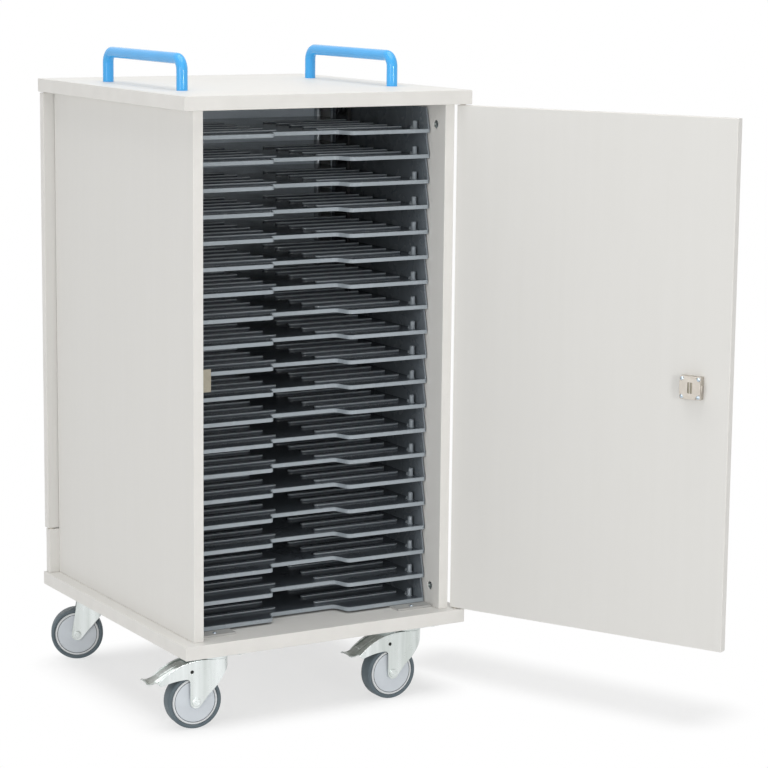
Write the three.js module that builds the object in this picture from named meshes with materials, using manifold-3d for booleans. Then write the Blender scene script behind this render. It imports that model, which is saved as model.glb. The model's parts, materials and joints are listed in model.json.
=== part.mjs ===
// Laptop charging cart: a board cabinet on four swivel casters, with a pivoting door front and rear
// and a stack of moulded trays. Millimetres, +Z up, front towards -Y, origin on the floor below the
// middle of the cabinet. The front door stands open and the rear door is closed.
import * as THREE from "three";
import { mergeVertices } from "three/addons/utils/BufferGeometryUtils.js";
import Module from "manifold-3d";

const wasm = await Module();
wasm.setup();

// Clearances
const SEAT_GAP = 0.3; // between a piece and the seat that it rests on
const RUNNING_GAP = 0.4; // round a pin that turns in its hole, or a bolt that slides

// Cabinet boards
const WIDTH = 570; // top and base panel, side to side
const DEPTH = 630; // top and base panel, front to back
const BOARD = 25; // thickness of the top and base panel
const CLEAR_HEIGHT = 928; // from the base panel up to the top panel
const SIDE_THICKNESS = 19;
const SIDE_INSET = 25; // base panel's edge in to the side panel's outer face
const RAIL_HEIGHT = 86; // fixed lower rear panel
const RAIL_INSET = 5; // its ends in from the base panel's edges

// Doors and their pivots
const DOOR_THICKNESS = 16;
const DOOR_SETBACK = 1.5; // closed door's face behind the base panel's edge
const DOOR_AIR = 1.5; // closed door to the side panels' edges
const DOOR_GAP = 2; // above and below a door
const DOOR_LAP = 8; // free edge past the side panel's outer face
const DOOR_OPEN = 117; // degrees, front door
const PIVOT_INSET = 12; // pivot axis in from two edges of the base panel
const HINGE_OVERHANG = 9; // door's hinge edge past the pivot axis
const PIN_RADIUS = 3.5;
const PIN_REACH = 12; // into the board and into the door
const PIN_FLANGE = 5; // radius of the collar in the gap

// Rim lock of the front door and its strike plate
const LOCK_SIZE = 40; // square case
const LOCK_DEPTH = 14;
const LOCK_EDGE = 48.5; // case in from the door's free edge
const LOCK_HEIGHT = 463; // middle of the case above the base panel's top
const BOLT_HEIGHT = 12;
const BOLT_THICKNESS = 4.6;
const BOLT_LENGTH = 30;
const BOLT_PROUD = 2; // drawn back, out of the case
const BOLT_COVER = 2.2; // wall of the case over the bolt
const CYLINDER_RADIUS = 9;
const CYLINDER_REACH = 5; // into the lock case
const ROSETTE_RADIUS = 11;
const ROSETTE_PROUD = 1.2;
const KEYHOLE = [2, 8, 6]; // width, height, depth
const STRIKE_SHEET = 2.5;
const STRIKE_HEIGHT = 40;
const STRIKE_LEG = 32; // along the side panel
const STRIKE_SETBACK = 1.3; // behind the side panel's front edge
const STRIKE_AIR = 6.5; // lip to the closed lock case

// Cam lock of the rear door
const CAM_EDGE = 49; // axis in from the door's free edge
const CAM_LENGTH = 28;
const CAM_WIDTH = 12;
const CAM_SHEET = 2.5;
const CAM_DEPTH = 16; // cam's far side from the door's inner face
const SLOT_AIR = 3.5; // round the cam in the side panel's slot

// Trays and the runner plates below them
const TRAY_COUNT = 20;
const STACK_HEADROOM = 8.6; // over the top tray's walls
const TRAY_SIDE_GAP = 2; // tray to side panel
const TRAY_SETBACK = 69; // tray's front behind the base panel's edge
const REAR_SPACE = 128; // rear compartment, from the trays to the side panels' rear edges
const TRAY_LIP = 7; // height of the front lip
const LIP_THICKNESS = 4;
const FLOOR_BOTTOM = 2; // tray's floor above its lowest edge
const FLOOR_THICKNESS = 3;
const TRAY_WALL = 3;
const WALL_SLANT = 10; // wall's top front corner behind the lip
const WALL_SHORT = 20; // side wall's end ahead of the tray's rear
const BACK_WALL_HALF = 205; // half its width, which leaves cable gaps at the corners
const BACK_WALL_DROP = 7; // below the next tray
const RECESS_MOUTH = 84; // half the finger recess's width at the front
const RECESS_BACK = 60; // half its width at the back
const RECESS_DEPTH = 33;
const RECESS_EASE = 15; // how far each end of the flank's S curve runs straight
const RIB_INNER = 40; // ribs run from here
const RIB_OUTER = 217; // to here, on both sides of the middle
const RIB_WIDTH = 10;
const RIB_HEIGHT = 4;
const RIB_FIRST = 64; // first row behind the tray's front
const RIB_PITCH = 51;
const RIB_REAR = 120; // least distance of the last row from the back
const RUNNER_WIDTH = 72;
const RUNNER_THICKNESS = 4;
const RUNNER_SETBACK = 40; // behind the base panel's edge

// Handles
const HANDLE_TUBE = 10; // radius
const HANDLE_SPAN = 310; // between the legs' axes
const HANDLE_HEIGHT = 65;
const HANDLE_BEND = 20; // radius of the tube's middle line
const HANDLE_INSET = 73; // in from the top panel's side edge

// Casters
const WHEEL_RADIUS = 50;
const TYRE_WIDTH = 31;
const TREAD_WIDTH = 25;
const TYRE_SHOULDER = 4; // widest part of the tyre, below its tread
const HUB_RADIUS = 42;
const HUB_RIM_WIDTH = 25;
const HUB_BOSS_WIDTH = 31; // at the bore
const AXLE_RADIUS = 6;
const AXLE_HEAD_RADIUS = 8;
const AXLE_HEAD = 3;
const TRAIL = 40; // swivel axis to axle
const FORK_AIR = 2.5; // tyre to fork
const FORK_SHEET = 2.5;
const EAR_RADIUS = 11; // fork's end round the axle
const CROWN_RISE = 76; // fork's top above the axle
const CROWN_RADIUS = 25;
const CROWN_SHEET = 3;
const APRON_RISE = 62; // front apron's lower edge above the axle
const RIDGE_START = 2; // pressed ridge down the fork's side, behind the swivel axis
const RIDGE_WIDTH = 19;
const RIDGE_PROUD = 3.5;
const RACE_RADIUS = 27;
const RACE_THICKNESS = 11.7;
const RIVET_RADIUS = 6;
const RIVET_HEAD_RADIUS = 9;
const RIVET_HEAD = 3;
const PLATE_WIDTH = 85;
const PLATE_LENGTH = 105;
const PLATE_THICKNESS = 4;
const PLATE_CORNER = 8;
const CASTER_INSET_X = 85; // swivel axis in from the base panel's side edge
const CASTER_INSET_Y = 64; // and from its front or rear edge
const FORK_LEAN = 11; // unbraked fork's rear edge leans forward from the ear
const FORK_SHOULDER = 10; // drop of the rounded corner at its top
const ARM_REACH = 72; // brake arm's tip behind the axle
const ARM_RISE = 41; // and above it
const ARM_UNDERSIDE = 43; // arm's lower edge above the axle, where it leaves the fork
const ARM_CORNER = 8; // radius of the corner there
const ARM_NOSE = 6.5; // length of the chamfer at its tip
const PEDAL_PIN = 3.2; // radius
const PEDAL_PIN_BACK = 7.5; // pedal's pin behind the axle
const PEDAL_PIN_RISE = 56; // and above it
const PEDAL_SHEET = 3;
const PEDAL_AIR = 3; // pedal to fork sides
const PEDAL_EYE = 7; // pedal's front end past the pin, ahead and above
const PEDAL_HUMP_BACK = 20; // pedal's highest corner behind the axle
const PEDAL_HUMP_RISE = 70.5; // and above it
const PEDAL_REACH = 91; // pedal's tip behind the axle
const PEDAL_TREAD = 22; // flat stretch at the tip
const PEDAL_TREAD_RISE = 44; // its top above the axle
const SHOE_BACK = 30; // brake shoe's lower corner behind the axle
const SHOE_AIR = 6.5; // shoe to the tyre when the brake is off
const SHOE_FRONT_AIR = 4.5; // its front end to the tyre
const CASTERS = [
  { name: "front_left", side: -1, end: -1, yaw: 174, braked: true },
  { name: "front_right", side: 1, end: -1, yaw: 180, braked: true },
  { name: "rear_left", side: -1, end: 1, yaw: 157, braked: false },
  { name: "rear_right", side: 1, end: 1, yaw: 158, braked: false },
];

// Power strip and mains inlet
const STRIP_DEPTH = 50;
const STRIP_THICKNESS = 42;
const STRIP_BEHIND_TRAYS = 32;
const STRIP_END_AIR = 6; // to the base and top panel
const SOCKET_SIZE = 28;
const SOCKET_DEPTH = 3; // to the shutter
const INLET_WIDTH = 28;
const INLET_HEIGHT = 20;
const INLET_FLANGE = 9; // past the body, all round
const INLET_FLANGE_THICKNESS = 2.5;
const INLET_BODY = 28; // through the panel and behind it
const INLET_INSET = 95; // its middle in from the base panel's side edge
const INLET_POCKET = 15;
const INLET_RIM = 2.5;

// Heights and places that follow
const FORK_TOP = WHEEL_RADIUS + CROWN_RISE;
const BASE_BOTTOM = FORK_TOP + SEAT_GAP + RACE_THICKNESS + PLATE_THICKNESS;
const BASE_TOP = BASE_BOTTOM + BOARD;
const TOP_BOTTOM = BASE_TOP + CLEAR_HEIGHT;
const TOP_TOP = TOP_BOTTOM + BOARD;
const SIDE_OUTER = WIDTH / 2 - SIDE_INSET;
const SIDE_INNER = SIDE_OUTER - SIDE_THICKNESS;
const SIDE_REACH = DEPTH / 2 - DOOR_SETBACK - DOOR_THICKNESS - DOOR_AIR;
const PIVOT_X = WIDTH / 2 - PIVOT_INSET;
const PIVOT_Y = -DEPTH / 2 + PIVOT_INSET;
const RAIL_TOP = BASE_TOP + RAIL_HEIGHT;
const DOOR_OUTER = DOOR_SETBACK - PIVOT_INSET; // door's faces and free edge, from its pivot axis
const DOOR_INNER = DOOR_OUTER + DOOR_THICKNESS;
const DOOR_FREE = -(PIVOT_X + SIDE_OUTER + DOOR_LAP);
const LOCK_Z = BASE_TOP + LOCK_HEIGHT;
const LOCK_START = DOOR_FREE + LOCK_EDGE;
const REAR_LOCK_Z = (RAIL_TOP + TOP_BOTTOM) / 2;
const CAM_AXIS = DOOR_FREE + CAM_EDGE;
const STACK_BOTTOM = BASE_TOP + RUNNER_THICKNESS;
const TRAY_PITCH = (CLEAR_HEIGHT - RUNNER_THICKNESS - STACK_HEADROOM) / TRAY_COUNT;
const TRAY_HALF = SIDE_INNER - TRAY_SIDE_GAP;
const TRAY_FRONT = -DEPTH / 2 + TRAY_SETBACK;
const TRAY_REAR = SIDE_REACH - REAR_SPACE;
const FLOOR_TOP = FLOOR_BOTTOM + FLOOR_THICKNESS;
const FORK_INNER = TYRE_WIDTH / 2 + FORK_AIR;
const FORK_OUTER = FORK_INNER + FORK_SHEET;

// Solids from three.js geometry
const TURNED_SIDES = 20;
const SMALL_SIDES = 12;
const CURVE_STEPS = 4;
const HANDLE_STEPS = 30;
const QUARTER_CIRCLE_EASE = 0.5523; // Bezier handles of a quarter circle, in radii
const PAST = 1; // how far a cutting solid runs past the surface that it opens

function toSolid(geometry) {
  const bare = new THREE.BufferGeometry();
  bare.setAttribute("position", geometry.getAttribute("position"));
  bare.setIndex(geometry.index);
  const merged = mergeVertices(bare, 1e-4);
  const corners = merged.index.array;
  const kept = [];
  for (let i = 0; i < corners.length; i += 3) {
    const [a, b, c] = corners.slice(i, i + 3);
    if (a !== b && b !== c && c !== a) kept.push(a, b, c);
  }
  const vertProperties = new Float32Array(merged.attributes.position.array);
  const triVerts = new Uint32Array(kept);
  return new wasm.Manifold(new wasm.Mesh({ numProp: 3, vertProperties, triVerts }));
}

function toGeometry(solid) {
  const { vertProperties, triVerts } = solid.getMesh();
  const geometry = new THREE.BufferGeometry();
  geometry.setAttribute("position", new THREE.BufferAttribute(vertProperties, 3));
  geometry.setIndex(new THREE.BufferAttribute(triVerts, 1));
  const flat = geometry.toNonIndexed();
  flat.computeVertexNormals();
  return flat;
}

function joined(solids) {
  return solids.reduce((whole, solid) => whole.add(solid));
}

function cutBy(solid, tools) {
  return tools.reduce((whole, tool) => whole.subtract(tool), solid);
}

function box(x0, x1, y0, y1, z0, z1) {
  const geometry = new THREE.BoxGeometry(x1 - x0, y1 - y0, z1 - z0);
  geometry.translate((x0 + x1) / 2, (y0 + y1) / 2, (z0 + z1) / 2);
  return toSolid(geometry);
}

function extruded(shape, depth) {
  return new THREE.ExtrudeGeometry(shape, { depth, bevelEnabled: false, curveSegments: CURVE_STEPS });
}

function outline(points) {
  return new THREE.Shape(points.map(([x, y]) => new THREE.Vector2(x, y)));
}

// An outline in X and Y, raised from z0 to z1.
function raised(shape, z0, z1) {
  return toSolid(extruded(shape, z1 - z0).translate(0, 0, z0));
}

// An outline in X and Z, carried from y0 to y1.
function acrossY(shape, y0, y1) {
  return toSolid(extruded(shape, y1 - y0).rotateX(Math.PI / 2).translate(0, y1, 0));
}

// An outline in Y and Z, carried from x0 to x1.
function acrossX(shape, x0, x1) {
  const turn = new THREE.Matrix4().makeBasis(
    new THREE.Vector3(0, 1, 0),
    new THREE.Vector3(0, 0, 1),
    new THREE.Vector3(1, 0, 0),
  );
  return toSolid(extruded(shape, x1 - x0).applyMatrix4(turn).translate(x0, 0, 0));
}

// A profile of [radius, height] pairs turned about an axis, with its flats at the stated radius.
function lathe(profile, sides) {
  const widen = 1 / Math.cos(Math.PI / sides);
  const points = profile.map(([radius, height]) => new THREE.Vector2(radius * widen, height));
  return new THREE.LatheGeometry(points, sides, Math.PI / sides);
}

function turnedZ(profile, x, y, sides = TURNED_SIDES) {
  return toSolid(lathe(profile, sides).rotateX(Math.PI / 2).translate(x, y, 0));
}

function turnedY(profile, x, z, sides = TURNED_SIDES) {
  return toSolid(lathe(profile, sides).translate(x, 0, z));
}

function rodProfile(radius, from, to) {
  return [[0, from], [radius, from], [radius, to], [0, to]];
}

// Finishes: colour, roughness, metalness
const FINISHES = {
  board: [0xdedcd6, 0.5, 0],
  door: [0xdcdad5, 0.45, 0],
  tray: [0x3a3d41, 0.4, 0],
  blue: [0x4f9fe0, 0.3, 0],
  zinc: [0xd8dcda, 0.35, 0.9],
  lock: [0xcfc7be, 0.3, 0.95],
  bronze: [0x7b776a, 0.4, 0.8],
  hub: [0xc9cfd3, 0.45, 0],
  tyre: [0x5c666c, 0.7, 0],
  runner: [0xb9bab6, 0.5, 0.4],
  black: [0x1c1d1f, 0.5, 0],
};

const cart = new THREE.Group();

function place(parent, name, solid, finish, z = 0) {
  const [color, roughness, metalness] = FINISHES[finish];
  const material = new THREE.MeshStandardMaterial({ color, roughness, metalness });
  const mesh = new THREE.Mesh(toGeometry(solid), material);
  mesh.name = name;
  mesh.position.z = z;
  parent.add(mesh);
}

// Bore for a pivot pin, from a board's or a door's edge at z inwards along up or down.
function pivotBore(x, y, z, inwards) {
  const ends = [z - inwards * PAST, z + inwards * (PIN_REACH + RUNNING_GAP)].sort((a, b) => a - b);
  return turnedZ(rodProfile(PIN_RADIUS + RUNNING_GAP, ...ends), x, y, SMALL_SIDES);
}

// Pivot pin with a collar that sits on the board at seat and fills most of the door's gap.
function pivotPin(x, y, seat, towardsDoor) {
  const collar = seat + towardsDoor * (DOOR_GAP - RUNNING_GAP);
  const profile = [
    [0, seat - towardsDoor * PIN_REACH],
    [PIN_RADIUS, seat - towardsDoor * PIN_REACH],
    [PIN_RADIUS, seat],
    [PIN_FLANGE, seat],
    [PIN_FLANGE, collar],
    [PIN_RADIUS, collar],
    [PIN_RADIUS, seat + towardsDoor * (DOOR_GAP + PIN_REACH)],
    [0, seat + towardsDoor * (DOOR_GAP + PIN_REACH)],
  ];
  if (towardsDoor < 0) profile.reverse();
  return turnedZ(profile, x, y, SMALL_SIDES);
}

function addBoards() {
  const halfWidth = WIDTH / 2;
  const halfDepth = DEPTH / 2;
  const base = box(-halfWidth, halfWidth, -halfDepth, halfDepth, BASE_BOTTOM, BASE_TOP);
  const top = box(-halfWidth, halfWidth, -halfDepth, halfDepth, TOP_BOTTOM, TOP_TOP);
  const baseBore = pivotBore(PIVOT_X, PIVOT_Y, BASE_TOP, -1);
  const frontBore = pivotBore(PIVOT_X, PIVOT_Y, TOP_BOTTOM, 1);
  const rearBore = pivotBore(-PIVOT_X, -PIVOT_Y, TOP_BOTTOM, 1);
  place(cart, "base_panel", cutBy(base, [baseBore]), "board");
  place(cart, "top_panel", cutBy(top, [frontBore, rearBore]), "board");

  const left = box(-SIDE_OUTER, -SIDE_INNER, -SIDE_REACH, SIDE_REACH, BASE_TOP, TOP_BOTTOM);
  const right = box(SIDE_INNER, SIDE_OUTER, -SIDE_REACH, SIDE_REACH, BASE_TOP, TOP_BOTTOM);
  place(cart, "left_side_panel", left, "board");
  place(cart, "right_side_panel", cutBy(right, [camSlot()]), "board");
}

// Slot in the right side panel that the rear lock's cam turns into.
function camSlot() {
  const camFar = -PIVOT_Y - DOOR_INNER - CAM_DEPTH;
  const tip = -PIVOT_X - CAM_AXIS + CAM_LENGTH;
  const half = CAM_LENGTH;
  return box(
    SIDE_INNER - PAST,
    tip + SLOT_AIR,
    camFar - SLOT_AIR,
    camFar + CAM_SHEET + SLOT_AIR,
    REAR_LOCK_Z - half,
    REAR_LOCK_Z + half,
  );
}

function addRearRailAndInlet() {
  const halfLength = WIDTH / 2 - RAIL_INSET;
  const outer = SIDE_REACH + DOOR_THICKNESS;
  const rail = box(-halfLength, halfLength, SIDE_REACH, outer, BASE_TOP, RAIL_TOP);
  const middle = BASE_TOP + RAIL_HEIGHT / 2;
  const inletX = WIDTH / 2 - INLET_INSET;
  const centred = (grow, y0, y1) =>
    box(
      inletX - INLET_WIDTH / 2 - grow,
      inletX + INLET_WIDTH / 2 + grow,
      y0,
      y1,
      middle - INLET_HEIGHT / 2 - grow,
      middle + INLET_HEIGHT / 2 + grow,
    );
  const opening = centred(SEAT_GAP, SIDE_REACH - PAST, outer + PAST);
  const bore = pivotBore(-PIVOT_X, -PIVOT_Y, RAIL_TOP, -1);
  place(cart, "rear_lower_panel", cutBy(rail, [opening, bore]), "board");

  const face = outer + INLET_FLANGE_THICKNESS;
  const body = centred(0, outer - INLET_BODY, outer + PAST);
  const flange = centred(INLET_FLANGE, outer, face);
  const pocket = centred(-INLET_RIM, face - INLET_POCKET, face + PAST);
  place(cart, "mains_inlet", cutBy(body.add(flange), [pocket]), "black");
}

// A door leaf as it stands when closed, from its pivot axis, with a bore for each pivot pin.
function doorLeaf(bottom, top) {
  const leaf = box(DOOR_FREE, HINGE_OVERHANG, DOOR_OUTER, DOOR_INNER, bottom, top);
  return cutBy(leaf, [pivotBore(0, 0, bottom, 1), pivotBore(0, 0, top, -1)]);
}

function hung(x, y, degrees) {
  const group = new THREE.Group();
  group.position.set(x, y, 0);
  group.rotation.z = THREE.MathUtils.degToRad(degrees);
  cart.add(group);
  return group;
}

// A round barrel through a door at x and z, with a rosette on the door's face and a keyhole in it.
function lockBarrel(x, z, innerEnd) {
  const face = DOOR_OUTER - SEAT_GAP;
  const front = face - ROSETTE_PROUD;
  const profile = [
    [0, front],
    [ROSETTE_RADIUS, front],
    [ROSETTE_RADIUS, face],
    [CYLINDER_RADIUS, face],
    [CYLINDER_RADIUS, innerEnd],
    [0, innerEnd],
  ];
  const [width, height, depth] = KEYHOLE;
  const keyhole = box(-width / 2, width / 2, front - PAST, front + depth, -height / 2, height / 2);
  return turnedY(profile, x, z).subtract(keyhole.translate([x, 0, z]));
}

function barrelBore(x, z) {
  return turnedY(rodProfile(CYLINDER_RADIUS + RUNNING_GAP, DOOR_OUTER - PAST, DOOR_INNER + PAST), x, z);
}

function addFrontDoor() {
  const door = hung(PIVOT_X, PIVOT_Y, DOOR_OPEN);
  const lockX = LOCK_START + LOCK_SIZE / 2;
  const leaf = doorLeaf(BASE_TOP + DOOR_GAP, TOP_BOTTOM - DOOR_GAP);
  place(door, "front_door", cutBy(leaf, [barrelBore(lockX, LOCK_Z)]), "door");

  const back = DOOR_INNER + SEAT_GAP;
  const coverInside = back + LOCK_DEPTH - BOLT_COVER;
  const boltBack = coverInside - RUNNING_GAP - BOLT_THICKNESS;
  const halfCase = LOCK_SIZE / 2;
  const halfBolt = BOLT_HEIGHT / 2;
  const shell = box(
    LOCK_START,
    LOCK_START + LOCK_SIZE,
    back,
    back + LOCK_DEPTH,
    LOCK_Z - halfCase,
    LOCK_Z + halfCase,
  );
  const channel = box(
    LOCK_START - PAST,
    LOCK_START + BOLT_LENGTH + RUNNING_GAP,
    boltBack - RUNNING_GAP,
    coverInside,
    LOCK_Z - halfBolt - RUNNING_GAP,
    LOCK_Z + halfBolt + RUNNING_GAP,
  );
  const barrelEnd = back + CYLINDER_REACH;
  const pocketProfile = rodProfile(CYLINDER_RADIUS + RUNNING_GAP, back - PAST, barrelEnd + SEAT_GAP);
  const pocket = turnedY(pocketProfile, lockX, LOCK_Z);
  place(door, "lock_case", cutBy(shell, [channel, pocket]), "lock");
  place(door, "key_cylinder", lockBarrel(lockX, LOCK_Z, barrelEnd), "lock");

  const boltTip = LOCK_START - BOLT_PROUD;
  const bolt = box(
    boltTip,
    boltTip + BOLT_LENGTH,
    boltBack,
    boltBack + BOLT_THICKNESS,
    LOCK_Z - halfBolt,
    LOCK_Z + halfBolt,
  );
  place(door, "lock_bolt", bolt, "lock");
}

function addStrike() {
  const front = -SIDE_REACH + STRIKE_SETBACK;
  const lipEnd = PIVOT_X + LOCK_START - STRIKE_AIR;
  const half = STRIKE_HEIGHT / 2;
  const heights = [LOCK_Z - half, LOCK_Z + half];
  const leg = box(-SIDE_INNER, -SIDE_INNER + STRIKE_SHEET, front, front + STRIKE_LEG, ...heights);
  const lip = box(-SIDE_INNER, lipEnd, front, front + STRIKE_SHEET, ...heights);
  place(cart, "strike_plate", leg.add(lip), "bronze");
}

function addRearDoor() {
  const door = hung(-PIVOT_X, -PIVOT_Y, 180);
  const leaf = doorLeaf(RAIL_TOP + DOOR_GAP, TOP_BOTTOM - DOOR_GAP);
  place(door, "rear_door", cutBy(leaf, [barrelBore(CAM_AXIS, REAR_LOCK_Z)]), "door");

  const camFar = DOOR_INNER + CAM_DEPTH;
  const half = CAM_WIDTH / 2;
  const cam = box(
    CAM_AXIS - half,
    CAM_AXIS + half,
    camFar - CAM_SHEET,
    camFar,
    REAR_LOCK_Z - CAM_LENGTH,
    REAR_LOCK_Z + half,
  );
  const barrel = lockBarrel(CAM_AXIS, REAR_LOCK_Z, camFar - CAM_SHEET / 2);
  place(door, "rear_lock_cam", barrel.add(cam), "lock");
}

function addPivotPins() {
  place(cart, "front_pivot_bottom", pivotPin(PIVOT_X, PIVOT_Y, BASE_TOP, 1), "zinc");
  place(cart, "front_pivot_top", pivotPin(PIVOT_X, PIVOT_Y, TOP_BOTTOM, -1), "zinc");
  place(cart, "rear_pivot_bottom", pivotPin(-PIVOT_X, -PIVOT_Y, RAIL_TOP, 1), "zinc");
  place(cart, "rear_pivot_top", pivotPin(-PIVOT_X, -PIVOT_Y, TOP_BOTTOM, -1), "zinc");
}

// A tray's plan: a rectangle whose front edge swings back in an S curve on both sides of the recess.
function trayPlan(front, half, rear) {
  const back = front + RECESS_DEPTH;
  const shape = new THREE.Shape();
  shape.moveTo(-half, front);
  shape.lineTo(-RECESS_MOUTH, front);
  const mouthEase = RECESS_MOUTH - RECESS_EASE;
  const backEase = RECESS_BACK + RECESS_EASE;
  shape.bezierCurveTo(-mouthEase, front, -backEase, back, -RECESS_BACK, back);
  shape.lineTo(RECESS_BACK, back);
  shape.bezierCurveTo(backEase, back, mouthEase, front, RECESS_MOUTH, front);
  shape.lineTo(half, front);
  shape.lineTo(half, rear);
  shape.lineTo(-half, rear);
  return shape;
}

function trayRibs() {
  const ribs = [];
  for (let y = TRAY_FRONT + RIB_FIRST; y < TRAY_REAR - RIB_REAR; y += RIB_PITCH) {
    const across = [y - RIB_WIDTH / 2, y + RIB_WIDTH / 2, FLOOR_BOTTOM + PAST, FLOOR_TOP + RIB_HEIGHT];
    ribs.push(box(RIB_INNER, RIB_OUTER, ...across));
    ribs.push(box(-RIB_OUTER, -RIB_INNER, ...across));
  }
  return ribs;
}

// One tray with its lowest edge at z = 0: lipped floor, side walls, back wall and ribs.
function tray() {
  const wallTop = TRAY_PITCH - SEAT_GAP;
  const inside = trayPlan(TRAY_FRONT + LIP_THICKNESS, TRAY_HALF + PAST, TRAY_REAR + PAST);
  const slab = raised(trayPlan(TRAY_FRONT, TRAY_HALF, TRAY_REAR), 0, TRAY_LIP);
  const above = raised(inside, FLOOR_TOP, TRAY_LIP + PAST);
  const below = raised(inside, -PAST, FLOOR_BOTTOM);
  const side = outline([
    [TRAY_FRONT, 0],
    [TRAY_REAR - WALL_SHORT, 0],
    [TRAY_REAR - WALL_SHORT, wallTop],
    [TRAY_FRONT + WALL_SLANT, wallTop],
    [TRAY_FRONT, TRAY_LIP],
  ]);
  return joined([
    cutBy(slab, [above, below]),
    acrossX(side, -TRAY_HALF, -TRAY_HALF + TRAY_WALL),
    acrossX(side, TRAY_HALF - TRAY_WALL, TRAY_HALF),
    box(
      -BACK_WALL_HALF,
      BACK_WALL_HALF,
      TRAY_REAR - TRAY_WALL,
      TRAY_REAR,
      FLOOR_BOTTOM + PAST,
      TRAY_PITCH - BACK_WALL_DROP,
    ),
    ...trayRibs(),
  ]);
}

function addTrays() {
  const front = -DEPTH / 2 + RUNNER_SETBACK;
  const inner = TRAY_HALF - RUNNER_WIDTH;
  const left = box(-TRAY_HALF, -inner, front, TRAY_REAR, BASE_TOP, STACK_BOTTOM);
  const right = box(inner, TRAY_HALF, front, TRAY_REAR, BASE_TOP, STACK_BOTTOM);
  place(cart, "tray_runner_left", left, "runner");
  place(cart, "tray_runner_right", right, "runner");
  const one = tray();
  for (let i = 0; i < TRAY_COUNT; i += 1) {
    const name = `tray_${String(i + 1).padStart(2, "0")}`;
    place(cart, name, one, "tray", STACK_BOTTOM + i * TRAY_PITCH);
  }
}

// A bent tube that stands on the top panel, legs front and rear.
function handle(x) {
  const half = HANDLE_SPAN / 2;
  const height = HANDLE_HEIGHT - HANDLE_TUBE;
  const circleEase = QUARTER_CIRCLE_EASE * HANDLE_BEND;
  const at = (y, z) => new THREE.Vector3(x, y, TOP_TOP + z);
  const path = new THREE.CurvePath();
  path.add(new THREE.LineCurve3(at(-half, 0), at(-half, height - HANDLE_BEND)));
  path.add(
    new THREE.CubicBezierCurve3(
      at(-half, height - HANDLE_BEND),
      at(-half, height - HANDLE_BEND + circleEase),
      at(-half + HANDLE_BEND - circleEase, height),
      at(-half + HANDLE_BEND, height),
    ),
  );
  path.add(new THREE.LineCurve3(at(-half + HANDLE_BEND, height), at(half - HANDLE_BEND, height)));
  path.add(
    new THREE.CubicBezierCurve3(
      at(half - HANDLE_BEND, height),
      at(half - HANDLE_BEND + circleEase, height),
      at(half, height - HANDLE_BEND + circleEase),
      at(half, height - HANDLE_BEND),
    ),
  );
  path.add(new THREE.LineCurve3(at(half, height - HANDLE_BEND), at(half, 0)));
  const section = new THREE.Shape().absarc(0, 0, HANDLE_TUBE, 0, 2 * Math.PI);
  const settings = { steps: HANDLE_STEPS, extrudePath: path, curveSegments: CURVE_STEPS };
  return toSolid(new THREE.ExtrudeGeometry(section, settings));
}

function addHandles() {
  const x = WIDTH / 2 - HANDLE_INSET;
  place(cart, "handle_left", handle(-x), "blue");
  place(cart, "handle_right", handle(x), "blue");
}

// Power strip on the left panel, behind the trays, with its sockets towards the middle.
function addPowerStrip() {
  const front = TRAY_REAR + STRIP_BEHIND_TRAYS;
  const middle = front + STRIP_DEPTH / 2;
  const face = STRIP_THICKNESS - SIDE_INNER;
  const bottom = BASE_TOP + STRIP_END_AIR;
  const strip = box(-SIDE_INNER, face, front, front + STRIP_DEPTH, bottom, TOP_BOTTOM - STRIP_END_AIR);
  const half = SOCKET_SIZE / 2;
  const sockets = [];
  for (let i = 0; i < TRAY_COUNT; i += 1) {
    const z = STACK_BOTTOM + (i + 0.5) * TRAY_PITCH;
    const socket = box(-SOCKET_DEPTH, PAST, -half, half, -half, half);
    sockets.push(socket.translate([face, middle, z]));
  }
  place(cart, "power_strip", cutBy(strip, sockets), "black");
}

// Caster pieces stand on the floor with the swivel axis at x = y = 0 and the wheel trailing to +X.

function roundedPlate(width, length, corner) {
  const x = width / 2;
  const y = length / 2;
  const shape = new THREE.Shape();
  shape.moveTo(-x + corner, -y);
  shape.lineTo(x - corner, -y);
  shape.quadraticCurveTo(x, -y, x, -y + corner);
  shape.lineTo(x, y - corner);
  shape.quadraticCurveTo(x, y, x - corner, y);
  shape.lineTo(-x + corner, y);
  shape.quadraticCurveTo(-x, y, -x, y - corner);
  shape.lineTo(-x, -y + corner);
  shape.quadraticCurveTo(-x, -y, -x + corner, -y);
  return shape;
}

// Mounting plate with the ball race and the rivet that holds the fork.
function casterPlate() {
  const plateBottom = BASE_BOTTOM - PLATE_THICKNESS;
  const raceBottom = FORK_TOP + SEAT_GAP;
  const headTop = FORK_TOP - CROWN_SHEET - SEAT_GAP;
  const plate = raised(roundedPlate(PLATE_WIDTH, PLATE_LENGTH, PLATE_CORNER), plateBottom, BASE_BOTTOM);
  const race = turnedZ(
    [
      [0, headTop - RIVET_HEAD],
      [RIVET_HEAD_RADIUS, headTop - RIVET_HEAD],
      [RIVET_HEAD_RADIUS, headTop],
      [RIVET_RADIUS, headTop],
      [RIVET_RADIUS, raceBottom],
      [RACE_RADIUS, raceBottom],
      [RACE_RADIUS, plateBottom + PAST],
      [0, plateBottom + PAST],
    ],
    0,
    0,
    SMALL_SIDES,
  );
  return plate.add(race);
}

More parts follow.
